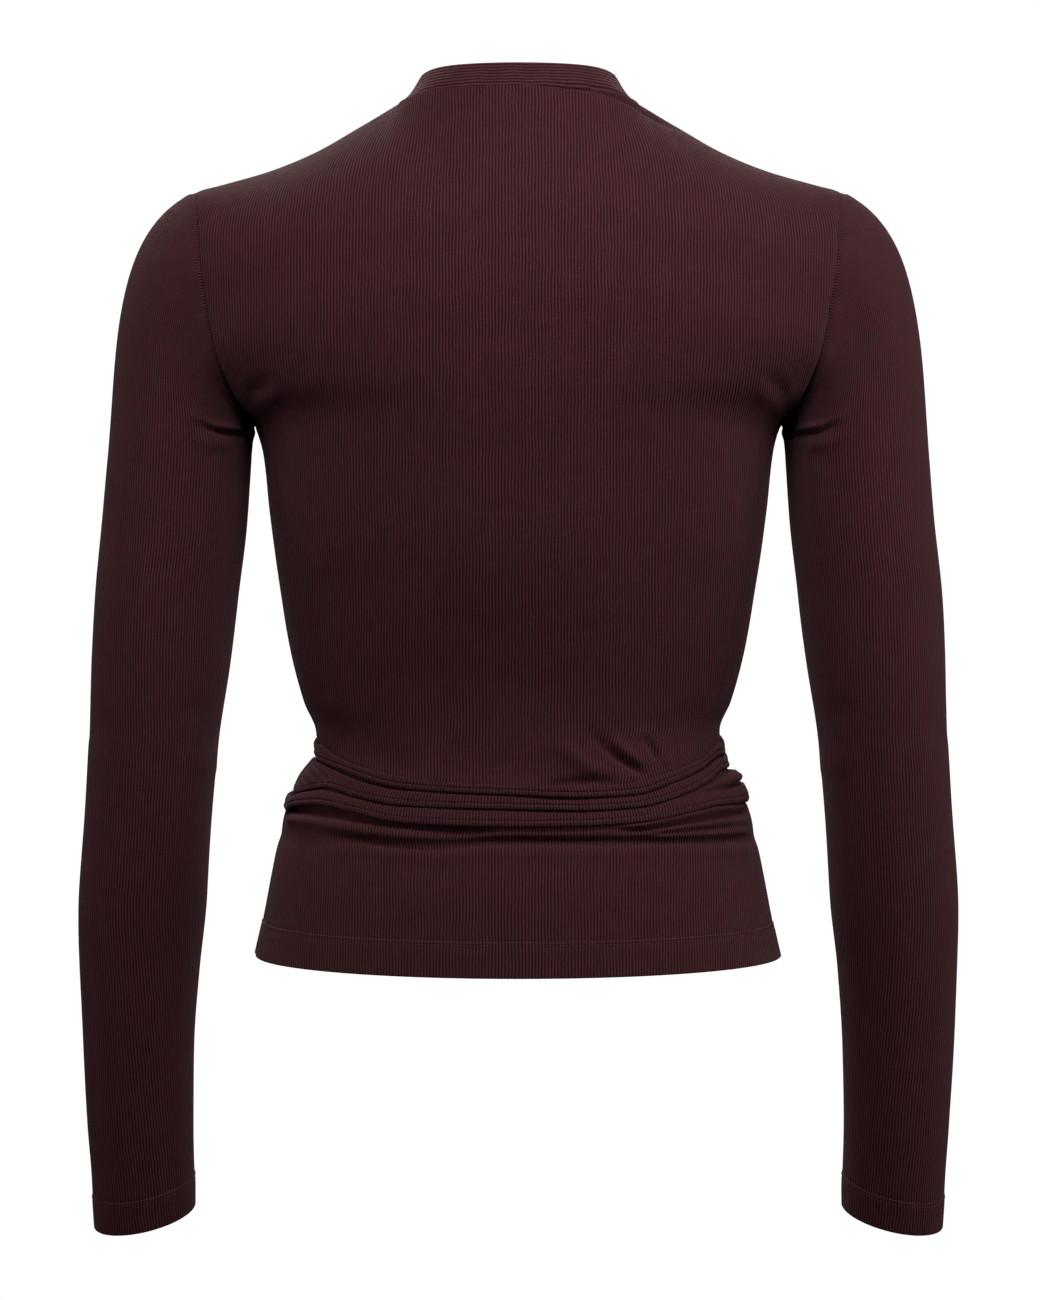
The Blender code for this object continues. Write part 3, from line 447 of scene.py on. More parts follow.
# Folds in the starts of the two ties, by turn and height in millimetres
GATHERS = (
    Crease(((71, -377.6), (69.5, -381.0), (66, -386.5), (60, -391.4)), 1.1, -1.7),
    Crease(((66, -379.6), (63, -384.6), (56, -390.2)), 0.8, -1.2),
    Crease(((95, -378.5), (88, -381.0), (76, -386.0), (62, -392.4)), 0.9, -1.1),
    Crease(((94, -384.0), (86, -387.5), (76, -391.4), (66, -394.6)), 1.1, -1.0),
    Crease(((80, -381.2), (71, -384.0), (58, -390.6)), 0.8, -0.9),
    Crease(((96, -381.0), (84, -385.0), (70, -389.4)), 0.9, 0.6),
    Crease(((94, -390.5), (84, -393.0), (74, -395.6)), 1.2, -0.8),
    Crease(((95, -394.0), (86, -396.4), (78, -397.6)), 1.0, 0.5),
)
TAIL_FOLDS = (
    Crease(((-112, -393.0), (-96, -393.2), (-88, -393.6), (-71, -394.9), (-60, -396.6), (-54, -397.4),
            (-47, -399.4), (-40, -402.0)), 1.0, -3.6),
    Crease(((-92, -390.0), (-76, -391.2), (-62, -393.8)), 1.6, 0.6),
    Crease(((-68, -388.2), (-60, -391.6), (-52, -396.4)), 0.8, -0.9),
    Crease(((-106, -388.6), (-92, -388.2), (-80, -388.6)), 0.9, -0.5),
)

# Knit; heights and shades are shares of a rib's, scales are noises to a metre; the rib's share of the shade
# paints shade into the grooves between ribs
RIB_PITCH = 0.00185
LOOP_LENGTH = 0.0011    # height of one loop of yarn
RIB_ROUNDNESS = 1.7     # power that makes the grooves between ribs narrow
RIB_SWAY = 0.9          # pitches by which the ribs wander
SWAY_SCALE = 46.0
FUZZ_SCALE = 900.0
PATCH_SCALE = 90.0
TWIST_SCALE = 1500.0    # twist of the sewing thread
LOOP_HEIGHT = 0.12
FUZZ_HEIGHT = 0.02
RIB_SHADE = 1.20
FUZZ_SHADE = 0.90
PATCH_SHADE = 0.35
SHADE_BASE = 0.72
THREAD_SHADES = (0.85, 1.35)    # darkest and lightest of the thread, against the cloth
ROUGHNESS = 0.68
NAP_ROUGHNESS = 0.25    # what the nap adds to it
SHEEN_TINT = (1.0, 0.56, 0.60, 1.0)

# Setting out of nodes: columns of a few nodes each, from a first place
NODE_START = (-1600, 300)
NODE_STEP = 220
NODE_ROWS = 4

# Stage
VIEW_POINT = (-0.0009, -0.3155)     # where the camera looks, across and up
AIM = (0.0, 0.0, -0.15)
Light = namedtuple("Light", "name place target size share")
LIGHTS = (
    Light("key_light", (-0.15, 0.75, 0.50), AIM, (1.4, 0.5), 1.0),
    Light("front_light", (0.15, -0.85, 0.55), AIM, (1.4, 0.5), 1.2),
    Light("far_panel", (0.0, -2.2, -0.3), (0.0, 0.0, -0.3), (3.2, 2.0), 1.7),
    Light("right_corner_light", (-1.5, 1.3, 0.10), AIM, (0.9, 1.4), 0.42),
    Light("left_corner_light", (1.5, 1.3, 0.10), AIM, (0.9, 1.4), 0.56),
    Light("right_light", (-1.9, 0.3, -0.05), AIM, (0.8, 1.6), 1.15),
    Light("left_light", (1.9, 0.3, -0.05), AIM, (0.8, 1.6), 0.48),
)
FLOOR_RADIUS = 4.5
FLOOR_COLOUR = (0.62, 0.62, 0.615)
FLOOR_GLOW = 1.12
WHITE = 1.05            # brightness of the surroundings as they are seen


# ---------------------------------------------------------------- settings

class JerseySettings(bpy.types.PropertyGroup):
    """Cloth of the whole top."""

    thickness: bpy.props.FloatProperty(
        name="Thickness", description="Thickness of one layer of the cloth", default=0.0011,
        min=0.0005, max=0.003, unit="LENGTH")
    rib_pitch: bpy.props.FloatProperty(
        name="Rib pitch", description="Distance from one rib to the next", default=RIB_PITCH,
        min=0.001, max=0.006, unit="LENGTH")
    rib_depth: bpy.props.FloatProperty(
        name="Rib depth", description="Depth of the grooves between the ribs", default=0.00045,
        min=0.0, max=0.002, unit="LENGTH")
    colour: bpy.props.FloatVectorProperty(
        name="Colour", description="Colour of the yarn on top of a rib", default=(0.082, 0.0245, 0.0295),
        size=3, min=0.0, max=1.0, subtype="COLOR")
    # Darker colour between two ribs: painted shade of the grooves, not a colour of the yarn
    groove_painted_shade: bpy.props.FloatVectorProperty(
        name="Groove colour", description="Colour between two ribs", default=(0.022, 0.0062, 0.0075),
        size=3, min=0.0, max=1.0, subtype="COLOR")


class SewingSettings(bpy.types.PropertyGroup):
    """Hems and the rows of stitches."""

    hem_depth: bpy.props.FloatProperty(
        name="Hem depth", description="Distance from the hem's edge to its stitching", default=0.0190,
        min=0.005, max=0.05, unit="LENGTH")
    cuff_depth: bpy.props.FloatProperty(
        name="Cuff depth", description="Distance from the cuff's edge to its stitching", default=0.0180,
        min=0.005, max=0.05, unit="LENGTH")
    row_gap: bpy.props.FloatProperty(
        name="Row gap", description="Distance between the two rows of a twin-needle seam", default=0.0022,
        min=0.001, max=0.01, unit="LENGTH")
    stitch_length: bpy.props.FloatProperty(
        name="Stitch length", description="Length of one stitch with the gap after it", default=0.0028,
        min=0.001, max=0.01, unit="LENGTH")


class TieSettings(bpy.types.PropertyGroup):
    """Ties round the waist."""

    thickness: bpy.props.FloatProperty(
        name="Thickness", description="Thickness of a folded tie", default=0.0017,
        min=0.0008, max=0.004, unit="LENGTH")
    lip: bpy.props.FloatProperty(
        name="Lip", description="Distance from a tie's lower edge to its sewn line", default=0.0025,
        min=0.001, max=0.006, unit="LENGTH")


class StageSettings(bpy.types.PropertyGroup):
    """Camera, lights and floor."""

    camera_distance: bpy.props.FloatProperty(
        name="Camera distance", description="Distance of the camera from the middle of the top", default=2.8,
        min=1.0, max=10.0, unit="LENGTH")
    view_height: bpy.props.FloatProperty(
        name="View height", description="Height that fits in the picture at the top's middle", default=0.754,
        min=0.2, max=5.0, unit="LENGTH")
    floor_height: bpy.props.FloatProperty(
        name="Floor height", description="Height of the floor below the shoulders", default=-1.35,
        min=-5.0, max=-0.7, unit="LENGTH")
    key_power: bpy.props.FloatProperty(
        name="Key light", description="Power of the soft light above the back", default=10.0,
        min=0.0, max=1000.0, unit="POWER")
    sky: bpy.props.FloatProperty(
        name="Surroundings", description="Brightness of the white surroundings on the cloth", default=0.02,
        min=0.0, max=3.0)


class WrapTopSettings(bpy.types.PropertyGroup):
    """Everything that can be set on the top."""

    jersey: bpy.props.PointerProperty(type=JerseySettings, name="Jersey", description="The cloth")
    sewing: bpy.props.PointerProperty(type=SewingSettings, name="Sewing", description="Hems and stitches")
    ties: bpy.props.PointerProperty(type=TieSettings, name="Ties", description="Ties round the waist")
    stage: bpy.props.PointerProperty(type=StageSettings, name="Stage", description="Camera, lights and floor")


# ---------------------------------------------------------------- worn form

def monotone(knots, values, at):
    """Values read from a smooth curve through the points that never overshoots them."""
    x = np.asarray(knots, float)
    y = np.asarray(values, float)
    t = np.clip(np.asarray(at, float), x[0], x[-1])
    step = np.diff(x)
    slope = np.diff(y) / step
    bend = np.zeros_like(y)
    bend[0] = slope[0]
    bend[-1] = slope[-1]
    same = slope[:-1] * slope[1:] > 0
    near = 2 * step[1:] + step[:-1]
    far = step[1:] + 2 * step[:-1]
    safe = np.where(same, slope[:-1] * slope[1:], 1.0)
    mean = (near + far) * safe / np.where(same, near * slope[1:] + far * slope[:-1], 1.0)
    bend[1:-1] = np.where(same, mean, 0.0)
    i = np.clip(np.searchsorted(x, t, side="right") - 1, 0, len(x) - 2)
    return hermite(y[i], bend[i] * step[i], y[i + 1], bend[i + 1] * step[i], (t - x[i]) / step[i])


def hermite(start, leave, end, arrive, t):
    """Cubic from start to end with the given pulls at each end."""
    return (start * (2 * t**3 - 3 * t**2 + 1) + leave * (t**3 - 2 * t**2 + t)
            + end * (3 * t**2 - 2 * t**3) + arrive * (t**3 - t**2))


def read(table, knot, name, at):
    """One column of a table, read at places between its rows."""
    rows = sorted(table, key=lambda row: getattr(row, knot))
    return monotone([getattr(row, knot) for row in rows], [getattr(row, name) for row in rows], at)


def unit(vectors):
    return vectors / np.maximum(np.linalg.norm(vectors, axis=-1, keepdims=True), 1e-12)


def smooth(low, high, values):
    """0 below low, 1 above high and an even S between them."""
    t = np.clip((np.asarray(values, float) - low) / (high - low), 0, 1)
    return t * t * (3 - 2 * t)


def level_of(height):
    return UNDERARM_LEVEL * (height - HEM_HEIGHT) / (UNDERARM_HEIGHT - HEM_HEIGHT)


def face_rows(depth_name, yoke):
    """Every section of one face, from the hem to the yoke, keyed by level."""
    rows = []
    for section in BODY_SECTIONS:
        fallen = max(0.0, (DIP_START - section.height) / (DIP_START - HEM_HEIGHT))
        dip = HEM_DIP * fallen if depth_name == "back" else 0.0
        rows.append(Yoke(level_of(section.height), section.side, 0.0, section.height,
                         getattr(section, depth_name), section.height - dip, 90))
    return rows + list(yoke)


Face = namedtuple("Face", "rows arrival neck_y neck_z outward has_bust")
BACK = Face(face_rows("back", BACK_YOKE), BACK_ARRIVAL, 0.066, 0.0042, 1.0, False)
FRONT = Face(face_rows("front", FRONT_YOKE), FRONT_ARRIVAL, -0.047, -0.060, -1.0, True)


def row_point(face, share, level):
    """Point of a face's section at a level up to the yoke; share runs from -1 to 1 across it."""
    place = {name: read(face.rows, "level", name, level) for name in Yoke._fields[1:]}
    turn = np.radians(place["turn"])
    fall = (1 - np.cos(share * turn)) / (1 - np.cos(turn))
    x = place["edge_x"] * np.sin(share * turn) / np.sin(turn)
    y = place["mid_y"] + (place["edge_y"] - place["mid_y"]) * fall
    z = place["mid_z"] + (place["edge_z"] - place["mid_z"]) * fall
    return np.stack([x, y, z], axis=-1)


def top_point(face, share):
    """Point of a face's top edge: neckline in the middle, shoulder seam on each side."""
    size = np.abs(share)
    out = np.maximum((size - NECK_SHARE) / (1 - NECK_SHARE), 0)
    angle = np.clip(size / NECK_SHARE, 0, 1) * math.pi / 2
    seam_x = NECK_POINT[0] + (SHOULDER_POINT[0] - NECK_POINT[0]) * out
    x = np.where(size < NECK_SHARE, NECK_POINT[0] * np.sin(angle), seam_x)
    neck_y = NECK_POINT[1] + (face.neck_y - NECK_POINT[1]) * np.cos(angle)
    y = np.where(size < NECK_SHARE, neck_y, NECK_POINT[1] + (SHOULDER_POINT[1] - NECK_POINT[1]) * out)
    neck_z = face.neck_z * (1 - np.sin(angle) ** 4)
    z = np.where(size < NECK_SHARE, neck_z, read(SHOULDER_LINE, "x", "z", seam_x))
    return np.stack([x * np.sign(share), y, z], axis=-1)


def form(face, share, level):
    """Worn surface of the back or of the front, before any layering."""
    share, level = np.broadcast_arrays(np.asarray(share, float), np.asarray(level, float))
    low = row_point(face, share, np.minimum(level, YOKE_LEVEL))
    edge = row_point(face, share, np.full_like(level, YOKE_LEVEL))
    below = row_point(face, share, np.full_like(level, YOKE_LEVEL - NUDGE))
    leave = (edge - below) / NUDGE * (1 - YOKE_LEVEL)
    size = np.abs(share)
    arrive = np.stack([np.sign(share) * read(face.arrival, "share", "x", size),
                       read(face.arrival, "share", "y", size),
                       read(face.arrival, "share", "z", size)], axis=-1)
    t = np.clip((level - YOKE_LEVEL) / (1 - YOKE_LEVEL), 0, 1)[..., None]
    ease = NECK_EASE * (1 - t[..., 0])
    top = (top_point(face, share - ease) + 2 * top_point(face, share) + top_point(face, share + ease)) / 4
    high = hermite(edge, leave, top, arrive, t)
    points = np.where(level[..., None] > YOKE_LEVEL, high, low)
    if face.has_bust:
        for side in (-1, 1):
            away = (((points[..., 0] - side * BUST_PLACE[0]) / BUST_SPREAD[0]) ** 2
                    + ((points[..., 2] - BUST_PLACE[1]) / BUST_SPREAD[1]) ** 2)
            points[..., 1] -= BUST_DEPTH * np.exp(-away)
    return points


def form_normal(face, share, level):
    """Outward normal of the worn surface."""
    share, level = np.broadcast_arrays(np.asarray(share, float), np.asarray(level, float))
    before, after = np.clip(share - NUDGE, -1, 1), np.clip(share + NUDGE, -1, 1)
    below, above = np.clip(level - NUDGE, 0, 1), np.clip(level + NUDGE, 0, 1)
    across = form(face, after, level) - form(face, before, level)
    along = form(face, share, above) - form(face, share, below)
    return -face.outward * unit(np.cross(across, along))


def layer_step(share, level):
    """How far the outer front stands off the inner one."""
    return LAYER * smooth(0, LAYER_SIDE, 1 - share) * smooth(0, LAYER_NECK, 1 - level)


def grid_normals(grid, outward_from):
    """Normals of a grid of points, turned away from the middle line given."""
    normal = unit(np.cross(np.gradient(grid, axis=1), np.gradient(grid, axis=0)))
    flip = np.sign(np.sum(normal * (grid - outward_from)))
    return normal * flip


# ---------------------------------------------------------------- creases and sewn relief

def bell(distance, width):
    """1 on a line, fading out evenly over a width on each side of it."""
    return np.exp(-(distance / width) ** 2)


def path_distance(u, v, path):
    """Distance of places (u, v) from a path, and how far along it their nearest point lies, from 0 to 1."""
    points = np.asarray(path, float)
    lengths = np.linalg.norm(np.diff(points, axis=0), axis=1)
    total = lengths.sum()
    best = np.full(np.shape(u), np.inf)
    along = np.zeros(np.shape(u))
    start = 0.0
    for a, b, length in zip(points[:-1], points[1:], lengths):
        way = (b - a) / length
        t = np.clip((u - a[0]) * way[0] + (v - a[1]) * way[1], 0, length)
        far = np.hypot(u - a[0] - way[0] * t, v - a[1] - way[1] * t)
        nearer = far < best
        best = np.where(nearer, far, best)
        along = np.where(nearer, (start + t) / total, along)
        start += length
    return best, along


def crease_depth(u, v, creases, fade=0.28):
    """Sum of the creases at places (u, v) in millimetres, in metres; each fades out towards its ends."""
    depth = np.zeros(np.shape(u))
    for crease in creases:
        away, along = path_distance(u, v, crease.path)
        ends = smooth(0, fade, along) * smooth(0, fade, 1 - along)
        depth += crease.depth * MM * bell(away, crease.width) * ends
    return depth


def stretched(creases, factor):
    """Creases whose first coordinate is scaled, from turns to millimetres round the waist."""
    return [Crease([(u * factor, v) for u, v in crease.path], crease.width, crease.depth) for crease in creases]


def drawn_in(turn, height):
    """How far the waist is drawn in at the wearer's left side, under the start of the ties."""
    side = (turn - WAIST_PULL.turn) / WAIST_PULL.turn_spread
    up = (height - WAIST_PULL.height) / WAIST_PULL.height_spread
    return WAIST_PULL.depth * np.exp(-side ** 2 - up ** 2)


def seam_tuck(distance, depth=SEAM_DEPTH):
    """Dip of the cloth into a seam, with the low ridge of the allowance beneath it beside the dip."""
    allowance = bell(distance - ALLOWANCE_PLACE * SEAM_REACH, ALLOWANCE_WIDTH * SEAM_REACH)
    return -depth * bell(distance, SEAM_REACH) + ALLOWANCE_SHARE * depth * allowance


def hem_relief(distance, depth, row_gap):
    """Doubled cloth of a hem and the two rows of its seam; distance runs up from the edge."""
    doubled = HEM_RISE * (1 - smooth(depth, depth + HEM_FALL, distance))
    rows = sum(bell(distance - depth - side * row_gap / 2, NEEDLE_WIDTH) for side in (-1, 1))
    return doubled - NEEDLE_DIP * rows + TUNNEL_RISE * bell(distance - depth, TUNNEL_WIDTH)


# ---------------------------------------------------------------- meshes

def spread(stops):
    """Places from pairs of (end, step): each stretch is filled evenly with steps no longer than its own."""
    places = [stops[0][0]]
    for end, step in stops[1:]:
        count = max(1, math.ceil(abs(end - places[-1]) / step))
        places += list(np.linspace(places[-1], end, count + 1)[1:])
    return np.array(places)


def row_distance(grid):
    """Distance of each point of a grid from the grid's first row, along its column."""
    steps = np.linalg.norm(np.diff(grid, axis=0), axis=-1)
    return np.concatenate([np.zeros((1, grid.shape[1])), np.cumsum(steps, axis=0)])


def lengths_along(path):
    """Distance along a path to each of its points."""
    return np.concatenate([[0], np.cumsum(np.linalg.norm(np.diff(path, axis=0), axis=1))])


def point_at(lengths, path, length):
    """Point of a path at a length along it."""
    return np.array([np.interp(length, lengths, path[:, axis]) for axis in range(3)])


def closed_round(grid):
    """Grid with its first column repeated after its last."""
    return np.concatenate([grid, grid[:, :1]], axis=1)


def rib_uv(grid, middle, along):
    """Cloth coordinates in metres: across the ribs from the middle column, and the given ones along them."""
    across = np.linalg.norm(np.diff(grid, axis=1), axis=-1)
    u = np.concatenate([np.zeros((grid.shape[0], 1)), np.cumsum(across, axis=1)], axis=1)
    u -= u[:, middle][:, None]
    return np.stack([u, along], axis=-1)


def mesh_piece(name, points, faces, corners, material):
    """Smooth mesh object, with the cloth coordinates of its faces' corners."""
    mesh = bpy.data.meshes.new(name)
    mesh.from_pydata(points, [], faces)
    mesh.uv_layers.new(name="Rib").data.foreach_set("uv", corners.ravel())
    mesh.shade_smooth()
    mesh.materials.append(material)
    piece = bpy.data.objects.new(name, mesh)
    bpy.context.scene.collection.objects.link(piece)
    return piece


def rounded_rim(last, before, inner_last):
    """Three rows of points that round a cloth's edge off between its two skins."""
    half = (last - inner_last) / 2
    out = unit(last - before) * np.linalg.norm(half, axis=-1, keepdims=True)
    middle = (last + inner_last) / 2
    turns = (math.pi / 4, math.pi / 2, 3 * math.pi / 4)
    return np.array([middle + half * math.cos(a) + out * math.sin(a) for a in turns])


def shell(name, outer, inner, uv, material, round_closed=False):
    """Closed thin cloth between two grids of points, its first and last rows rounded over."""
    end = rounded_rim(outer[-1], outer[-2], inner[-1])
    start = rounded_rim(outer[0], outer[1], inner[0])[::-1]
    stack = np.concatenate([outer, end, inner[::-1], start])
    uvs = np.concatenate([uv, np.repeat(uv[-1:], 3, 0), uv[::-1], np.repeat(uv[:1], 3, 0)])
    return tube(name, stack, uvs, material, round_closed, len(outer))


def tube(name, stack, uvs, material, round_closed=False, skin_rows=None):
    """Mesh of rows that close on themselves; round_closed also joins the last column to the first."""
    rows, columns = stack.shape[:2]
    spans = columns if round_closed else columns - 1
    i, j = np.meshgrid(np.arange(rows), np.arange(spans), indexing="ij")
    i2 = (i + 1) % rows
    j2 = j + 1
    around = j2 % columns
    quads = np.stack([i * columns + j, i * columns + around, i2 * columns + around, i2 * columns + j], -1)
    quads = quads.reshape(-1, 4)
    corners = np.stack([uvs[i, j], uvs[i, j2], uvs[i2, j2], uvs[i2, j]], 2).reshape(-1, 4, 2)
    flat = stack.reshape(-1, 3)
    a, b, c, d = (flat[quads[:, k]] for k in range(4))
    volume = np.sum(np.einsum("ij,ij->i", a, np.cross(b, c)) + np.einsum("ij,ij->i", a, np.cross(c, d)))
    faces = quads.tolist()
    loops = list(corners)
    if not round_closed:
        add_sides(faces, loops, rows, columns, uvs, skin_rows)
    if volume < 0:
        faces = [face[::-1] for face in faces]
        loops = [loop[::-1] for loop in loops]
    return mesh_piece(name, flat.tolist(), faces, np.concatenate(loops), material)


def add_sides(faces, loops, rows, columns, uvs, skin_rows):
    """Closes the two open sides of a tube: across a thin shell from skin to skin, else with one face."""
    for j, flip in ((0, False), (columns - 1, True)):
        if skin_rows is None:
            sides = [list(range(rows))]
        else:
            opposite = rows - 4
            sides = [[k, k + 1, opposite - k - 1, opposite - k] for k in range(skin_rows - 1)]
            sides += [[skin_rows - 1, skin_rows, skin_rows + 1, skin_rows + 2, skin_rows + 3],
                      [opposite, rows - 3, rows - 2, rows - 1, 0]]
        for side in sides:
            side = side[::-1] if flip else side
            faces.append([k * columns + j for k in side])
            loops.append(uvs[side, np.full(len(side), j)])


def dress(piece, node):
    """Lets a piece stand for a solid: hides the solid and hangs the piece on the body."""
    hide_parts(node)
    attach(piece, BODY)


# ---------------------------------------------------------------- materials

def add_node(tree, kind, **values):
    """New node, set out in columns in the order of making."""
    column, row = divmod(len(tree.nodes), NODE_ROWS)
    node = tree.nodes.new(kind)
    node.location = (NODE_START[0] + NODE_STEP * column, NODE_START[1] - NODE_STEP * row)
    for name, value in values.items():
        setattr(node, name, value)
    return node


def calculate(tree, operation, a, b=0.0):
    """Math node on two values, either of which may be a number or a socket."""
    node = add_node(tree, "ShaderNodeMath", operation=operation)
    for socket, value in zip(node.inputs, (a, b)):
        if isinstance(value, (int, float)):
            socket.default_value = value
        else:
            tree.links.new(value, socket)
    return node.outputs[0]


def noise(tree, place, scale, detail=2.0):
    """Noise on the cloth, from 0 to 1."""
    node = add_node(tree, "ShaderNodeTexNoise", noise_dimensions="2D")
    node.inputs["Scale"].default_value = scale
    node.inputs["Detail"].default_value = detail
    tree.links.new(place, node.inputs["Vector"])
    return node.outputs["Fac"]


def two_colours(tree, shade, low, high):
    """Colour between two others, linked to the material's base colour."""
    mix = add_node(tree, "ShaderNodeMix", data_type="RGBA")
    mix.inputs["A"].default_value = (*low, 1.0)
    mix.inputs["B"].default_value = (*high, 1.0)
    tree.links.new(shade, mix.inputs["Factor"])
    tree.links.new(mix.outputs["Result"], tree.nodes["Principled BSDF"].inputs["Base Color"])


def new_material(name):
    """New material and its shader."""
    material = bpy.data.materials.new(name)
    material.use_nodes = True
    return material, material.node_tree.nodes["Principled BSDF"]


def rib_group():
    """Fine rib knit: rounded ribs along V, loops of yarn on them and a faint unevenness; its Shade output
    paints shade into the grooves between ribs.
    """
    name = "Rib knit"
    if name in bpy.data.node_groups:
        return bpy.data.node_groups[name]
    tree = bpy.data.node_groups.new(name, "ShaderNodeTree")
    tree.interface.new_socket("Cloth", in_out="INPUT", socket_type="NodeSocketVector")
    for label, value in (("Pitch", RIB_PITCH), ("Loop", LOOP_LENGTH)):
        socket = tree.interface.new_socket(label, in_out="INPUT", socket_type="NodeSocketFloat")
        socket.default_value = value
    for label in ("Height", "Shade", "Nap"):
        tree.interface.new_socket(label, in_out="OUTPUT", socket_type="NodeSocketFloat")
    given = add_node(tree, "NodeGroupInput").outputs
    cloth = given["Cloth"]
    split = add_node(tree, "ShaderNodeSeparateXYZ")
    tree.links.new(cloth, split.inputs[0])
    wander = calculate(tree, "SUBTRACT", noise(tree, cloth, SWAY_SCALE), 0.5)
    wander = calculate(tree, "MULTIPLY", wander, RIB_SWAY)
    turn = calculate(tree, "DIVIDE", split.outputs["X"], given["Pitch"])
    turn = calculate(tree, "ADD", turn, wander)
    wave = calculate(tree, "SINE", calculate(tree, "MULTIPLY", turn, math.pi))
    rib = calculate(tree, "POWER", calculate(tree, "ABSOLUTE", wave), RIB_ROUNDNESS)
    course = calculate(tree, "DIVIDE", split.outputs["Y"], given["Loop"])
    loops = calculate(tree, "SINE", calculate(tree, "MULTIPLY", course, math.tau))
    loops = calculate(tree, "MULTIPLY", loops, rib)
    fuzz = noise(tree, cloth, FUZZ_SCALE, 3.0)
    patch = noise(tree, cloth, PATCH_SCALE, 3.0)
    height = rib
    for part, weight in ((loops, LOOP_HEIGHT), (fuzz, FUZZ_HEIGHT)):
        height = calculate(tree, "ADD", height, calculate(tree, "MULTIPLY", part, weight))
    # Shade: the rib part paints shade into the grooves between ribs; fuzz and patches add random tone
    shade = calculate(tree, "MULTIPLY", rib, RIB_SHADE)
    for part, weight in ((fuzz, FUZZ_SHADE), (patch, PATCH_SHADE)):
        shade = calculate(tree, "ADD", shade, calculate(tree, "MULTIPLY", part, weight))
    shade = calculate(tree, "SUBTRACT", shade, SHADE_BASE)
    made = add_node(tree, "NodeGroupOutput").inputs
    for label, value in (("Height", height), ("Shade", shade), ("Nap", fuzz)):
        tree.links.new(value, made[label])
    return tree


def jersey_material(name, settings, shade=1.0, pitch=1.0):
    """Rib jersey; shade scales its colours and pitch the distance between its ribs."""
    material, shader = new_material(name)
    tree = material.node_tree
    place = add_node(tree, "ShaderNodeUVMap", uv_map="Rib")
    knit = add_node(tree, "ShaderNodeGroup", node_tree=rib_group())
    knit.inputs["Pitch"].default_value = settings.rib_pitch * pitch
    tree.links.new(place.outputs["UV"], knit.inputs["Cloth"])
    # The groove colour is painted shade between the ribs, mixed in by the knit's Shade output
    groove = [c * shade for c in settings.groove_painted_shade]
    two_colours(tree, knit.outputs["Shade"], groove, [c * shade for c in settings.colour])
    rough = calculate(tree, "MULTIPLY", knit.outputs["Nap"], NAP_ROUGHNESS)
    rough = calculate(tree, "ADD", rough, ROUGHNESS)
    tree.links.new(rough, shader.inputs["Roughness"])
    bump = add_node(tree, "ShaderNodeBump")
    bump.inputs["Strength"].default_value = 0.9
    bump.inputs["Distance"].default_value = settings.rib_depth
    tree.links.new(knit.outputs["Height"], bump.inputs["Height"])
    tree.links.new(bump.outputs["Normal"], shader.inputs["Normal"])
    shader.inputs["Specular IOR Level"].default_value = 0.05
    shader.inputs["Sheen Weight"].default_value = 0.09
    shader.inputs["Sheen Roughness"].default_value = 0.45
    shader.inputs["Sheen Tint"].default_value = SHEEN_TINT
    return material


def thread_material(settings):
    """Sewing thread, a shade lighter than the cloth."""
    name = "sewing_thread"
    if name in bpy.data.materials:
        return bpy.data.materials[name]
    material, shader = new_material(name)
    tree = material.node_tree
    place = add_node(tree, "ShaderNodeUVMap", uv_map="Rib")
    twist = noise(tree, place.outputs["UV"], TWIST_SCALE)
    dark, light = ([c * shade for c in settings.colour] for shade in THREAD_SHADES)
    two_colours(tree, twist, dark, light)
    shader.inputs["Roughness"].default_value = 0.6
    return material


# ---------------------------------------------------------------- stitches

def stitches(name, path, normals, settings, thread):
    """Row of stitches along a path of points: each a short raised strip of thread."""
    lengths = lengths_along(path)
    count = int(lengths[-1] / settings.stitch_length)
    blocks, faces = [], []
    for k in range(count):
        start = (k + STITCH_START) * settings.stitch_length
        for share, tall in STITCH_PROFILE:
            at = start + share * STITCH_SHARE * settings.stitch_length
            point = point_at(lengths, path, at)
            normal = unit(point_at(lengths, normals, at))
            side = unit(np.cross(normal, point_at(lengths, path, at + STITCH_AHEAD) - point))
            low = point - normal * THREAD_ROOT
            high = point + normal * (THREAD * tall - THREAD_SINK)
            blocks += [low - side * THREAD / 2, high - side * THREAD / 4,
                       high + side * THREAD / 4, low + side * THREAD / 2]
        base = 16 * k
        for a in range(base, base + 12):
            b = a + 1 if a % 4 < 3 else a - 3
            faces.append([a, a + 4, b + 4, b])
        faces += [[base, base + 1, base + 2, base + 3], [base + 15, base + 14, base + 13, base + 12]]
    corners = np.array([blocks[i] for face in faces for i in face])[:, [0, 2]]
    piece = mesh_piece(name, [tuple(point) for point in blocks], faces, corners, thread)
    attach(piece, BODY)
    return piece


def seam_rows(name, grid, from_edge, depth, normals, sewing, thread):
    """Both rows of a twin-needle seam at a depth from the grid's first row."""
    rows = []
    for k, side in enumerate((-1, 1)):
        reach = depth + side * sewing.row_gap / 2
        path = np.array([point_at(from_edge[:, j], grid[:, j], reach) for j in range(grid.shape[1])])
        rows.append(stitches(f"{name}_stitches_{k + 1}", path, normals, sewing, thread))
    return rows


# ---------------------------------------------------------------- body panels

def panel_levels():
    """Levels of a body panel's rows: finest round the waist and at the hem."""
    return np.concatenate([level_of(spread(PANEL_HEIGHTS)), spread(YOKE_LEVELS)[1:]])


def under_ties(turn, height):
    """Share by which the cloth gives way below the ties, so that they lie on it."""
    given = np.zeros(np.shape(turn))
    for table in (LEFT_TIE, RIGHT_TIE):
        first, last = table[0].turn, table[-1].turn
        for whole in (-360, 0, 360):
            place = turn + whole
            on = (place >= first) & (place <= last)
            top = read(table, "turn", "top", place)
            bottom = read(table, "turn", "bottom", place)
            inside = smooth(*UNDER_TIE, np.minimum(top - height, height - bottom))
            given = np.maximum(given, np.where(on, inside, 0))
    return given


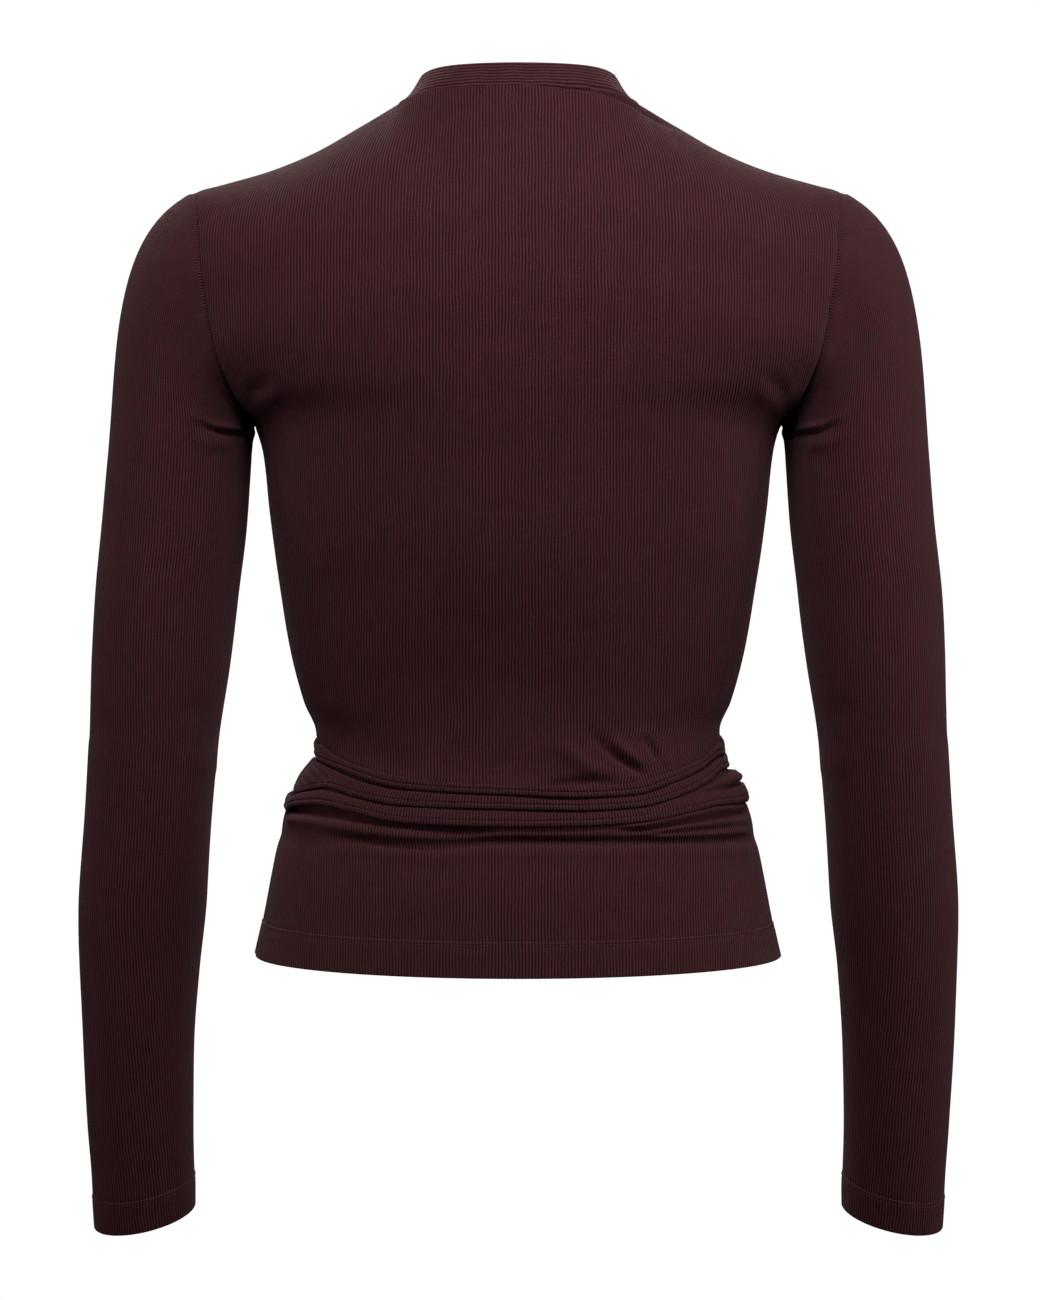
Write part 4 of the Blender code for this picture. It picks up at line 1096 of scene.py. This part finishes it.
def back_grid(sewing):
    """Outer skin of the back: its points, their normals and shares."""
    half = spread(BACK_SHARES)
    shares = np.concatenate([-half[:0:-1], half])
    share, level = np.meshgrid(shares, panel_levels())
    base = form(BACK, share, level)
    normal = form_normal(BACK, share, level)
    turn = 90 * share
    height = base[..., 2]
    out = crease_depth(base[..., 0] / MM, height / MM, BACK_CREASES) * smooth(0, BACK_FADE, 1 - np.abs(share))
    bagging = smooth(*FOLD_LOW, height) * (1 - smooth(*FOLD_HIGH, height))
    folds = crease_depth(turn * FOLD_SPAN, height / MM, stretched(WAIST_FOLDS, FOLD_SPAN), FOLD_FADE)
    out += bagging * folds
    out -= BACK_GIVE * under_ties(turn, height) + drawn_in(turn, height)
    above, reach, strength = UNDERARM_TUCK
    near_underarm = bell(level - UNDERARM_LEVEL - above, reach)
    out += seam_tuck((1 - np.abs(share)) * SHARE_SPAN) * (1 + strength * near_underarm)
    out += hem_relief(row_distance(base), sewing.hem_depth, sewing.row_gap)
    return base + normal * out[..., None], normal, share


def front_grid(outside, sewing):
    """Left front when outside, else the right front, its mirror image, one layer further in."""
    level = panel_levels()[:, None]
    spans = spread(FRONT_SHARES)
    edge = read(WRAP_EDGE, "level", "share", level)
    share = edge + (1 - edge) * spans[None, :]
    level = np.broadcast_to(level, share.shape)
    side = 1 if outside else -1
    base = form(FRONT, side * share, level)
    normal = form_normal(FRONT, side * share, level)
    out = layer_step(share, level) if outside else np.zeros_like(share)
    if outside:
        creases = crease_depth(base[..., 0] / MM, base[..., 2] / MM, FRONT_CREASES)
        out = out + creases * smooth(0, FRONT_FADE, 1 - share)
        turn = np.where(share > 0, 180 - 90 * share, -180 - 90 * share)
        out -= FRONT_GIVE * under_ties(turn, base[..., 2]) + drawn_in(turn, base[..., 2])
    out = out + seam_tuck((1 - share) * SHARE_SPAN)
    out += hem_relief(row_distance(base), sewing.hem_depth, sewing.row_gap)
    return base + normal * out[..., None], normal, share


class WRAPTOP_OT_body(bpy.types.Operator):
    """Back and the two crossed fronts, with their hems"""

    bl_idname = "wraptop.body"
    bl_label = "Body"

    def execute(self, context):
        settings = context.scene.wrap_top
        sewing = settings.sewing
        thread = thread_material(settings.jersey)
        grids = {"back": back_grid(sewing), "front_left": front_grid(True, sewing),
                 "front_right": front_grid(False, sewing)}
        for name, (outer, normal, share) in grids.items():
            material = jersey_material(f"{name}_rib_jersey", settings.jersey)
            from_hem = row_distance(outer)
            uv = rib_uv(outer, int(np.argmin(np.abs(share[0]))), from_hem)
            piece = shell(f"{name}_cloth", outer, outer - normal * settings.jersey.thickness, uv, material)
            dress(piece, name)
            rows = seam_rows(f"{name}_hem", outer, from_hem, sewing.hem_depth, normal[HEM_ROW], sewing, thread)
        return {"FINISHED"}


# ---------------------------------------------------------------- sleeves

def armhole_loop(angles):
    """Armhole at angles round the sleeve, from the underarm up the back and down the front."""
    turn = angles / math.tau * 2
    up = np.where(turn <= 1, turn, 2 - turn)
    level = UNDERARM_LEVEL + (1 - UNDERARM_LEVEL) * up
    ones = np.ones_like(level)
    return np.where((turn <= 1)[:, None], form(BACK, ones, level), form(FRONT, ones, level))


def arm_rings(heights, angles):
    """Rings of points round the arm at each height, and the arm's direction there."""
    place = {name: read(ARM, "height", name, heights) for name in Arm._fields[1:]}
    centres = np.stack([place["x"], place["y"], heights], axis=-1)
    axes = unit(np.gradient(centres, axis=0))
    outward = unit(np.stack([-axes[:, 2], np.zeros(len(heights)), axes[:, 0] - place["slope"]], axis=-1))
    backward = unit(np.cross(outward, axes))
    turn = (math.pi - angles)[None, :, None]
    return (centres[:, None] + place["half_width"][:, None, None] * np.cos(turn) * outward[:, None]
            + place["half_depth"][:, None, None] * np.sin(turn) * backward[:, None]), axes


def head_rings(angles, high, arm, axis):
    """Rings of the sleeve's head, from the armhole to the arm's first ring."""
    loop = armhole_loop(angles)
    inward = unit(loop.mean(axis=0) - loop)
    leave = (np.array(CAP_WAY) + CAP_LEAN * inward) * (CAP_START[0] + (CAP_START[1] - CAP_START[0]) * high)
    arrive = axis * (CAP_END[0] + (CAP_END[1] - CAP_END[0]) * high)
    rings = []
    for t in HEAD_PLACES:
        ring = hermite(loop, leave, arm, arrive, t)
        # 27 / 4 makes the highest point of t * (1 - t) ** 2 come to 1
        ring[:, 0] += CROWN * 27 / 4 * t * (1 - t) ** 2 * high[:, 0] ** 2
        rings.append(ring)
    return np.array(rings)


def sleeve_grid(sewing, side):
    """Sleeve of the wearer's left, or of the right when side is -1, drawn as a left one all the same."""
    angles = math.tau * np.arange(SLEEVE_COLUMNS) / SLEEVE_COLUMNS
    high = ((1 + np.cos(math.pi - angles)) / 2)[:, None]
    heights = spread(SLEEVE_HEIGHTS)
    arm, axes = arm_rings(heights, angles)
    base = np.concatenate([head_rings(angles, high, arm[0], axes[0]), arm])
    wrapped = np.concatenate([base[:, -1:], base, base[:, :1]], axis=1)
    normal = grid_normals(wrapped, wrapped.mean(axis=1, keepdims=True))[:, 1:-1]
    x, z = base[..., 0] / MM, base[..., 2] / MM
    creases = crease_depth(x, z, SLEEVE_CREASES)
    out = creases * smooth(-FACING, FACING, normal[..., 1])
    out += creases * FRONT_SHARE * smooth(-FACING, FACING, -normal[..., 1])
    from_seam = row_distance(base)
    from_cuff = from_seam[-1] - from_seam
    reach, strength = LOW_TUCK
    out += seam_tuck(from_seam, HEAD_TUCK) * (1 + strength * bell(high[:, 0], reach))
    out += hem_relief(from_cuff, sewing.cuff_depth, sewing.row_gap)
    phase = SWAY_PHASES[side]
    long, short, round_arm = SWAY_LENGTHS
    sway = np.sin(z / long + phase) * 0.5 + np.sin(z / short + 2 * phase) * 0.3
    sway = SWAY * sway * np.cos(angles * 2 + z / round_arm + phase)
    out += sway * smooth(*SWAY_START, from_seam) * smooth(*SWAY_END, from_cuff)
    return base + normal * out[..., None], normal, from_cuff


class WRAPTOP_OT_sleeves(bpy.types.Operator):
    """Both sleeves, with their heads and cuffs"""

    bl_idname = "wraptop.sleeves"
    bl_label = "Sleeves"

    def execute(self, context):
        settings = context.scene.wrap_top
        sewing = settings.sewing
        thread = thread_material(settings.jersey)
        for name, side in (("sleeve_left", 1), ("sleeve_right", -1)):
            outer, normal, from_cuff = sleeve_grid(sewing, side)
            mirror = np.array([side, 1.0, 1.0])
            inner = (outer - normal * settings.jersey.thickness) * mirror
            closed, along = closed_round(outer), closed_round(from_cuff)
            uv = rib_uv(closed, SLEEVE_COLUMNS // 2, along)
            material = jersey_material(f"{name}_rib_jersey", settings.jersey, pitch=SLEEVE_PITCH)
            piece = shell(f"{name}_cloth", outer * mirror, inner, uv, material, round_closed=True)
            dress(piece, name)
            normals = closed_round(normal * mirror)[CUFF_ROW]
            rows = seam_rows(f"{name}_cuff", (closed * mirror)[::-1], along[::-1], sewing.cuff_depth, normals,
                             sewing, thread)
        return {"FINISHED"}


# ---------------------------------------------------------------- neckband

def front_band(outside, reaches):
    """Neckband along a front's edge from the neck point down to the ties: a grid across it, and its normals."""
    levels = spread(BAND_LEVELS)
    share = read(WRAP_EDGE, "level", "share", levels)
    side = 1 if outside else -1
    edge = form(FRONT, side * share, levels)
    along_share = (form(FRONT, side * (share - NUDGE), levels) - edge) / NUDGE
    along_level = (edge - form(FRONT, side * share, levels - NUDGE)) / NUDGE
    off = unit(np.cross(np.gradient(edge, axis=0), form_normal(FRONT, side * share, levels))) * side
    way = np.array([np.linalg.lstsq(np.stack([a, b], axis=1), d, rcond=None)[0]
                    for a, b, d in zip(along_share, along_level, off)])
    shares = share - reaches[:, None] * way[:, 0]
    heights = np.clip(levels + reaches[:, None] * way[:, 1], 0, 1)
    stand = layer_step(share, levels) if outside else np.zeros_like(share)
    normal = form_normal(FRONT, side * shares, heights)
    return form(FRONT, side * shares, heights) + normal * stand[None, :, None], normal, levels


def neckband_grid():
    """One strip: up the right front's edge, round the back neck and down the left front's edge."""
    parts = np.linspace(0, 1, BAND_ROWS)
    reaches = BAND_SEAM + parts * BAND_HEIGHT
    shares = np.linspace(-NECK_SHARE, NECK_SHARE, BAND_COLUMNS)
    back = top_point(BACK, shares)
    angle = shares / NECK_SHARE * math.pi / 2
    upper = np.stack([BAND_TOP.x * np.sin(angle), BAND_TOP.y + BAND_TOP.reach * np.cos(angle),
                      BAND_TOP.z - BAND_TOP.drop * np.sin(angle) ** 8], axis=-1)
    rise = upper - back
    start = BAND_SEAM / BAND_HEIGHT
    middle = back + rise * (start + (1 - start) * parts)[:, None, None]
    normal = np.repeat(unit(np.cross(rise, np.gradient(back, axis=0)))[None], len(parts), axis=0)
    left, left_normal, levels = front_band(True, reaches)
    right, right_normal, levels = front_band(False, reaches)
    ease = monotone(BAND_EASE_LEVELS[::-1], BAND_EASE[::-1], levels)
    for grid, grid_normal, end in ((left, left_normal, -1), (right, right_normal, 0)):
        straight = grid[:1] + rise[end] * parts[:, None, None]
        grid += (straight - grid) * ease[None, :, None]
        grid_normal += (normal[:, end][:, None] - grid_normal) * ease[None, :, None]
    strip = np.concatenate([right[:, :0:-1], middle, left[:, 1:]], axis=1)
    normals = unit(np.concatenate([right_normal[:, :0:-1], normal, left_normal[:, 1:]], axis=1))
    return strip, normals, parts


def band_swell(strip, parts):
    """How far the doubled band is padded out, and drawn in at its seam and beside the neck."""
    x, y = strip[0, :, 0], strip[0, :, 1]
    dip = BAND_DIP + RIGHT_DIP * smooth(*RIGHT_DIP_SPAN, -x) * smooth(*BACK_NECK, y)
    swell = BAND_SWELL * np.sin(math.pi * parts)[:, None] ** 0.6 - dip * bell(parts, BAND_DIP_REACH)[:, None]
    beside_neck = bell(np.abs(x) - PINCH_PLACE, PINCH_WIDTH) * smooth(*SIDE_NECK, y)
    return swell - PINCH * np.sin(math.pi * parts ** 0.75)[:, None] * beside_neck


class WRAPTOP_OT_neckband(bpy.types.Operator):
    """Doubled band round the neck and down both front edges"""

    bl_idname = "wraptop.neckband"
    bl_label = "Neckband"

    def execute(self, context):
        settings = context.scene.wrap_top
        strip, normal, parts = neckband_grid()
        outer = strip + normal * band_swell(strip, parts)[..., None]
        inner = outer - normal * settings.jersey.thickness
        along = lengths_along(strip[0])
        uv = np.stack(np.broadcast_arrays((parts * BAND_HEIGHT)[:, None], along[None]), -1)
        material = jersey_material("neckband_rib_jersey", settings.jersey, shade=BAND_SHADE)
        piece = shell("neckband_cloth", outer, inner, uv, material)
        dress(piece, "neckband")
        return {"FINISHED"}


# ---------------------------------------------------------------- ties

def skin(turn, height, out):
    """Points at turns and heights on the body's outermost cloth, moved out along its normal."""
    turn = (np.asarray(turn, float) + 180) % 360 - 180
    level = level_of(height)
    on_back = np.abs(turn) <= 90
    share = np.where(turn > 0, 180 - turn, -180 - turn) / 90
    back_share = np.clip(turn / 90, -1, 1)
    share = np.clip(share, -1, 1)
    lap = np.where(share > -WRAP_SHARE, layer_step(share, level), LAYER * (1 + share) / (1 - WRAP_SHARE))
    out = np.asarray(out) - drawn_in(turn, height)
    back = form(BACK, back_share, level) + form_normal(BACK, back_share, level) * out[..., None]
    front = form(FRONT, share, level) + form_normal(FRONT, share, level) * (out + lap)[..., None]
    return np.where(on_back[..., None], back, front)


def rounded(across, power):
    """Rounded profile across a strip, from 0 at its edges to 1 in its middle."""
    return np.sqrt(np.clip(1 - np.abs(2 * across - 1) ** power, 0, 1))


def tie_line(table, ties, turns, up):
    """Points and normals on a tie's outer face, at a distance up from its lower edge."""
    bottom = read(table, "turn", "bottom", turns)
    stand = read(table, "turn", "stand", turns) * STAND_ACROSS[0]
    heights = bottom + up
    points = skin(turns, heights, TIE_AIR + ties.thickness + stand)
    return points, unit(points - skin(turns, heights, 0.0 * turns))


def uneven(edge, turns, waves):
    """An edge's heights with small waves along it."""
    for depth, length, start in waves:
        edge = edge + depth * np.sin(turns / length + start)
    return edge


def tie_stack(table, ties, folds):
    """Closed sections of a folded tie along its way, its cloth coordinates and its length."""
    first, last = table[0].turn, table[-1].turn
    turns = np.linspace(first, last, int((last - first) / TIE_STEP) + 1)
    top = uneven(read(table, "turn", "top", turns) - TIE_INSET, turns, TOP_WAVES)
    bottom = uneven(read(table, "turn", "bottom", turns) + TIE_INSET, turns, BOTTOM_WAVES)
    width = top - bottom
    part = ((1 - np.cos(np.linspace(0, math.pi, TIE_ROWS))) / 2)[:, None]
    part = TIE_ROW_MIX[0] * part + TIE_ROW_MIX[1] * np.linspace(0, 1, TIE_ROWS)[:, None]
    height = bottom + width * part
    turn = np.broadcast_to(turns, height.shape)
    thick = ties.thickness * (TIE_DOME[0] + TIE_DOME[1] * rounded(part, DOME_POWER))
    thick = thick - SEWN_DIP * bell(part * width - ties.lip, SEWN_WIDTH)
    thick = thick + TIE_RIPPLE * np.sin(turn * RIPPLE_WAVES[0] + part * RIPPLE_WAVES[1])
    thick = thick + crease_depth(turn * TURN_SPAN, height / MM, stretched(folds, TURN_SPAN), TIE_FADE)
    stand = read(table, "turn", "stand", turns) * np.interp(part, (0.0, 0.5, 1.0), STAND_ACROSS)
    stand = stand * rounded(part, STAND_POWER)
    outer = skin(turn, height, TIE_AIR + np.maximum(thick + stand, TIE_LEAST))
    back_part = np.linspace(1, 0, TIE_BACK_ROWS)[1:-1, None]
    back_height = bottom + width * back_part
    back_turn = np.broadcast_to(turns, back_height.shape)
    inner = skin(back_turn, back_height, np.full(back_height.shape, -TIE_SINK))
    along = lengths_along(outer[TIE_ROWS // 2])
    across = np.concatenate([part * width, back_part * width])
    uv = np.stack(np.broadcast_arrays(along[None], across), -1)
    return np.concatenate([outer, inner]), uv, float(along[-1])


def tie_material(name, settings):
    """Rib jersey of the ties, a little darker than the body's."""
    return jersey_material(f"{name}_rib_jersey", settings.jersey, shade=TIE_SHADE)


class WRAPTOP_OT_ties(bpy.types.Operator):
    """Ties wound round the waist"""

    bl_idname = "wraptop.ties"
    bl_label = "Ties"

    def execute(self, context):
        settings = context.scene.wrap_top
        thread = thread_material(settings.jersey)
        for name, table, folds in (("tie_left", LEFT_TIE, GATHERS), ("tie_right", RIGHT_TIE, TAIL_FOLDS)):
            stack, uv, length = tie_stack(table, settings.ties, folds)
            piece = tube(f"{name}_cloth", stack, uv, tie_material(name, settings))
            dress(piece, name)
            turns = np.linspace(table[0].turn + SEWN_ENDS[0], table[-1].turn - SEWN_ENDS[1], SEWN_POINTS)
            path, normals = tie_line(table, settings.ties, turns, settings.ties.lip)
            path = path - normals * STITCH_SINK
            row = stitches(f"{name}_stitches", path, normals, settings.sewing, thread)
        return {"FINISHED"}


# ---------------------------------------------------------------- knot and free ends

def squared(values):
    """Sine or cosine whose curve is a little squared."""
    return np.sign(values) * np.abs(values) ** KNOT_POWER


class WRAPTOP_OT_knot(bpy.types.Operator):
    """Knot at the centre front and the two free ends of the ties"""

    bl_idname = "wraptop.knot"
    bl_label = "Knot"

    def execute(self, context):
        settings = context.scene.wrap_top
        self.knot(settings)
        for name, side in (("tie_end_left", -1), ("tie_end_right", 1)):
            self.free_end(name, side, settings)
        return {"FINISHED"}

    def knot(self, settings):
        """Small rounded bundle with slanting grooves between its folds."""
        low, high = (np.array(corner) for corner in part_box("tie_knot"))
        middle, half = (low + high) / 2, (high - low) / 2
        around = np.linspace(0, math.tau, KNOT_COLUMNS + 1)[:-1]
        a, b = np.meshgrid(around, np.linspace(KNOT_POLE, math.pi - KNOT_POLE, KNOT_ROWS))
        x = squared(np.sin(b)) * squared(np.sin(a))
        y = -squared(np.sin(b)) * squared(np.cos(a))
        z = squared(np.cos(b))
        folds = sum(KNOT_DEPTH * bell(z - KNOT_LEAN * x - groove, KNOT_WIDTH) for groove in KNOT_GROOVES)
        folds += KNOT_RIPPLE * np.sin(9 * x + 4 * z) + KNOT_CROSS * bell(x + 0.4 * z, CROSS_WIDTH)
        grid = np.stack([x, y, z], -1) * (KNOT_SIZE + folds)[..., None] * half + middle
        u = np.concatenate([a, a[:, :1] + math.tau], 1) * half[0]
        uv = np.stack([u, closed_round(b) * half[2]], -1)
        piece = self.ball("tie_knot_cloth", grid, uv, tie_material("tie_knot", settings))
        dress(piece, "tie_knot")

    def ball(self, name, grid, uv, material):
        """Mesh of a grid whose rows run round it, closed with one face at its top and one at its bottom."""
        rows, columns = grid.shape[:2]
        faces, corners = [], []
        for i in range(rows - 1):
            for j in range(columns):
                k = (j + 1) % columns
                faces.append([i * columns + j, i * columns + k, (i + 1) * columns + k, (i + 1) * columns + j])
                corners += [uv[i, j], uv[i, j + 1], uv[i + 1, j + 1], uv[i + 1, j]]
        faces.append(list(range(columns))[::-1])
        corners += list(uv[0, :columns])[::-1]
        faces.append([(rows - 1) * columns + j for j in range(columns)])
        corners += list(uv[-1, :columns])
        return mesh_piece(name, grid.reshape(-1, 3).tolist(), faces, np.array(corners), material)

    def free_end(self, name, side, settings):
        """Folded strip that hangs from the knot, a little wavy, with a plain sewn end."""
        low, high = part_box(name)
        parts = np.linspace(0, 1, END_COLUMNS)
        rows = np.linspace(0, 1, END_ROWS)[:, None]
        height = high[2] + (low[2] - high[2]) * parts
        open_out = smooth(*END_CURL, parts)
        swing = END_SWING * np.sin(parts * 7 + side) * open_out
        middle = 180 + side * (END_OFFSET + END_OPENING * open_out + END_SLANT * parts + swing)
        half = math.degrees(END_WIDTH / 2 / FRONT_SPAN) * (END_NARROW[0] + END_NARROW[1] * open_out)
        turn = middle[None, :] + half[None, :] * (1 - 2 * rows)
        lift = TIE_AIR + END_LIFT * (1 - parts) ** 6
        dome = rounded(rows, 4) * END_DOME[1] + END_DOME[0]
        wave = END_WAVE * np.sin(parts * 9 + 2 * rows) * smooth(0.05, 0.3, parts)
        outer = skin(turn, height[None, :] + 0 * rows, lift + END_THICKNESS * dome + wave + END_CORE)
        under = slice(-2, 0, -1)
        inner = skin(turn[under], height[None, :] + 0 * rows[under], lift + wave[under])
        across = np.concatenate([rows, rows[under]]) * END_WIDTH
        uv = np.stack(np.broadcast_arrays(parts[None, :] * END_LENGTH, across), -1)
        piece = tube(f"{name}_cloth", np.concatenate([outer, inner]), uv, tie_material(name, settings))
        dress(piece, name)


# ---------------------------------------------------------------- stage

def aim(thing, place, target):
    """Puts a light or camera at a place and turns it to a target."""
    thing.location = place
    thing.rotation_euler = (Vector(target) - Vector(place)).to_track_quat("-Z", "Y").to_euler()


class WRAPTOP_OT_stage(bpy.types.Operator):
    """Camera, soft lights, white surroundings and a pale floor"""

    bl_idname = "wraptop.stage"
    bl_label = "Stage"

    def execute(self, context):
        stage = context.scene.wrap_top.stage
        self.camera(context.scene, stage)
        self.floor(stage)
        for light in LIGHTS:
            self.soft_light(context.scene, light, stage.key_power)
        self.surroundings(context.scene, stage)
        return {"FINISHED"}

    def camera(self, scene, stage):
        """Level camera behind the top."""
        data = bpy.data.cameras.new("camera")
        data.sensor_fit = "VERTICAL"
        data.sensor_height = 24.0
        data.lens = data.sensor_height * stage.camera_distance / stage.view_height
        data.clip_start = 0.05
        data.clip_end = 60.0
        camera = bpy.data.objects.new("camera", data)
        scene.collection.objects.link(camera)
        across, up = VIEW_POINT
        aim(camera, (across, stage.camera_distance, up), (across, 0.0, up))
        scene.camera = camera

    def floor(self, stage):
        """Pale floor that glows a little and doesn't light the cloth."""
        bpy.ops.mesh.primitive_circle_add(vertices=96, radius=FLOOR_RADIUS, fill_type="NGON",
                                          location=(0, 0, stage.floor_height))
        floor = bpy.context.object
        floor.name = "floor"
        material, shader = new_material("pale_floor")
        shader.inputs["Base Color"].default_value = (*FLOOR_COLOUR, 1.0)
        shader.inputs["Roughness"].default_value = 0.9
        shader.inputs["Emission Color"].default_value = (*FLOOR_COLOUR, 1.0)
        shader.inputs["Emission Strength"].default_value = FLOOR_GLOW
        floor.data.materials.append(material)
        floor.visible_diffuse = False
        floor.visible_glossy = False

    def soft_light(self, scene, light, key_power):
        """Wide, soft lamp."""
        data = bpy.data.lights.new(light.name, "AREA")
        data.shape = "RECTANGLE"
        data.size, data.size_y = light.size
        data.energy = key_power * light.share
        lamp = bpy.data.objects.new(light.name, data)
        scene.collection.objects.link(lamp)
        aim(lamp, light.place, light.target)

    def surroundings(self, scene, stage):
        """White all round as it is seen, and dim as it lights the cloth."""
        world = bpy.data.worlds.new("white_surroundings")
        world.use_nodes = True
        tree = world.node_tree
        ground = tree.nodes["Background"]
        ground.inputs["Color"].default_value = (1.0, 1.0, 1.0, 1.0)
        path = add_node(tree, "ShaderNodeLightPath")
        seen = add_node(tree, "ShaderNodeMapRange")
        seen.inputs["To Min"].default_value = stage.sky
        seen.inputs["To Max"].default_value = WHITE
        tree.links.new(path.outputs["Is Camera Ray"], seen.inputs["Value"])
        tree.links.new(seen.outputs["Result"], ground.inputs["Strength"])
        scene.world = world
        scene.view_settings.view_transform = "Standard"
        scene.view_settings.look = "None"


# ---------------------------------------------------------------- panel and start

class WRAPTOP_PT_panel(bpy.types.Panel):
    """Settings and steps of the wrap top"""

    bl_idname = "WRAPTOP_PT_panel"
    bl_label = "Wrap top"
    bl_space_type = "VIEW_3D"
    bl_region_type = "UI"
    bl_category = "Wrap top"

    def draw(self, context):
        settings = context.scene.wrap_top
        for group in (settings.jersey, settings.sewing, settings.ties, settings.stage):
            box = self.layout.box()
            for name in group.__annotations__:
                box.prop(group, name)
        for operator in OPERATORS:
            self.layout.operator(operator.bl_idname)


OPERATORS = (WRAPTOP_OT_stage, WRAPTOP_OT_body, WRAPTOP_OT_sleeves, WRAPTOP_OT_neckband, WRAPTOP_OT_ties,
             WRAPTOP_OT_knot)
CLASSES = (JerseySettings, SewingSettings, TieSettings, StageSettings, WrapTopSettings, *OPERATORS,
           WRAPTOP_PT_panel)


def register():
    for cls in CLASSES:
        bpy.utils.register_class(cls)
    bpy.types.Scene.wrap_top = bpy.props.PointerProperty(type=WrapTopSettings)


def unregister():
    del bpy.types.Scene.wrap_top
    for cls in reversed(CLASSES):
        bpy.utils.unregister_class(cls)


def main():
    register()
    bpy.ops.wraptop.stage()
    bpy.ops.wraptop.body()
    bpy.ops.wraptop.sleeves()
    bpy.ops.wraptop.neckband()
    bpy.ops.wraptop.ties()
    bpy.ops.wraptop.knot()


if __name__ == "__main__":
    main()
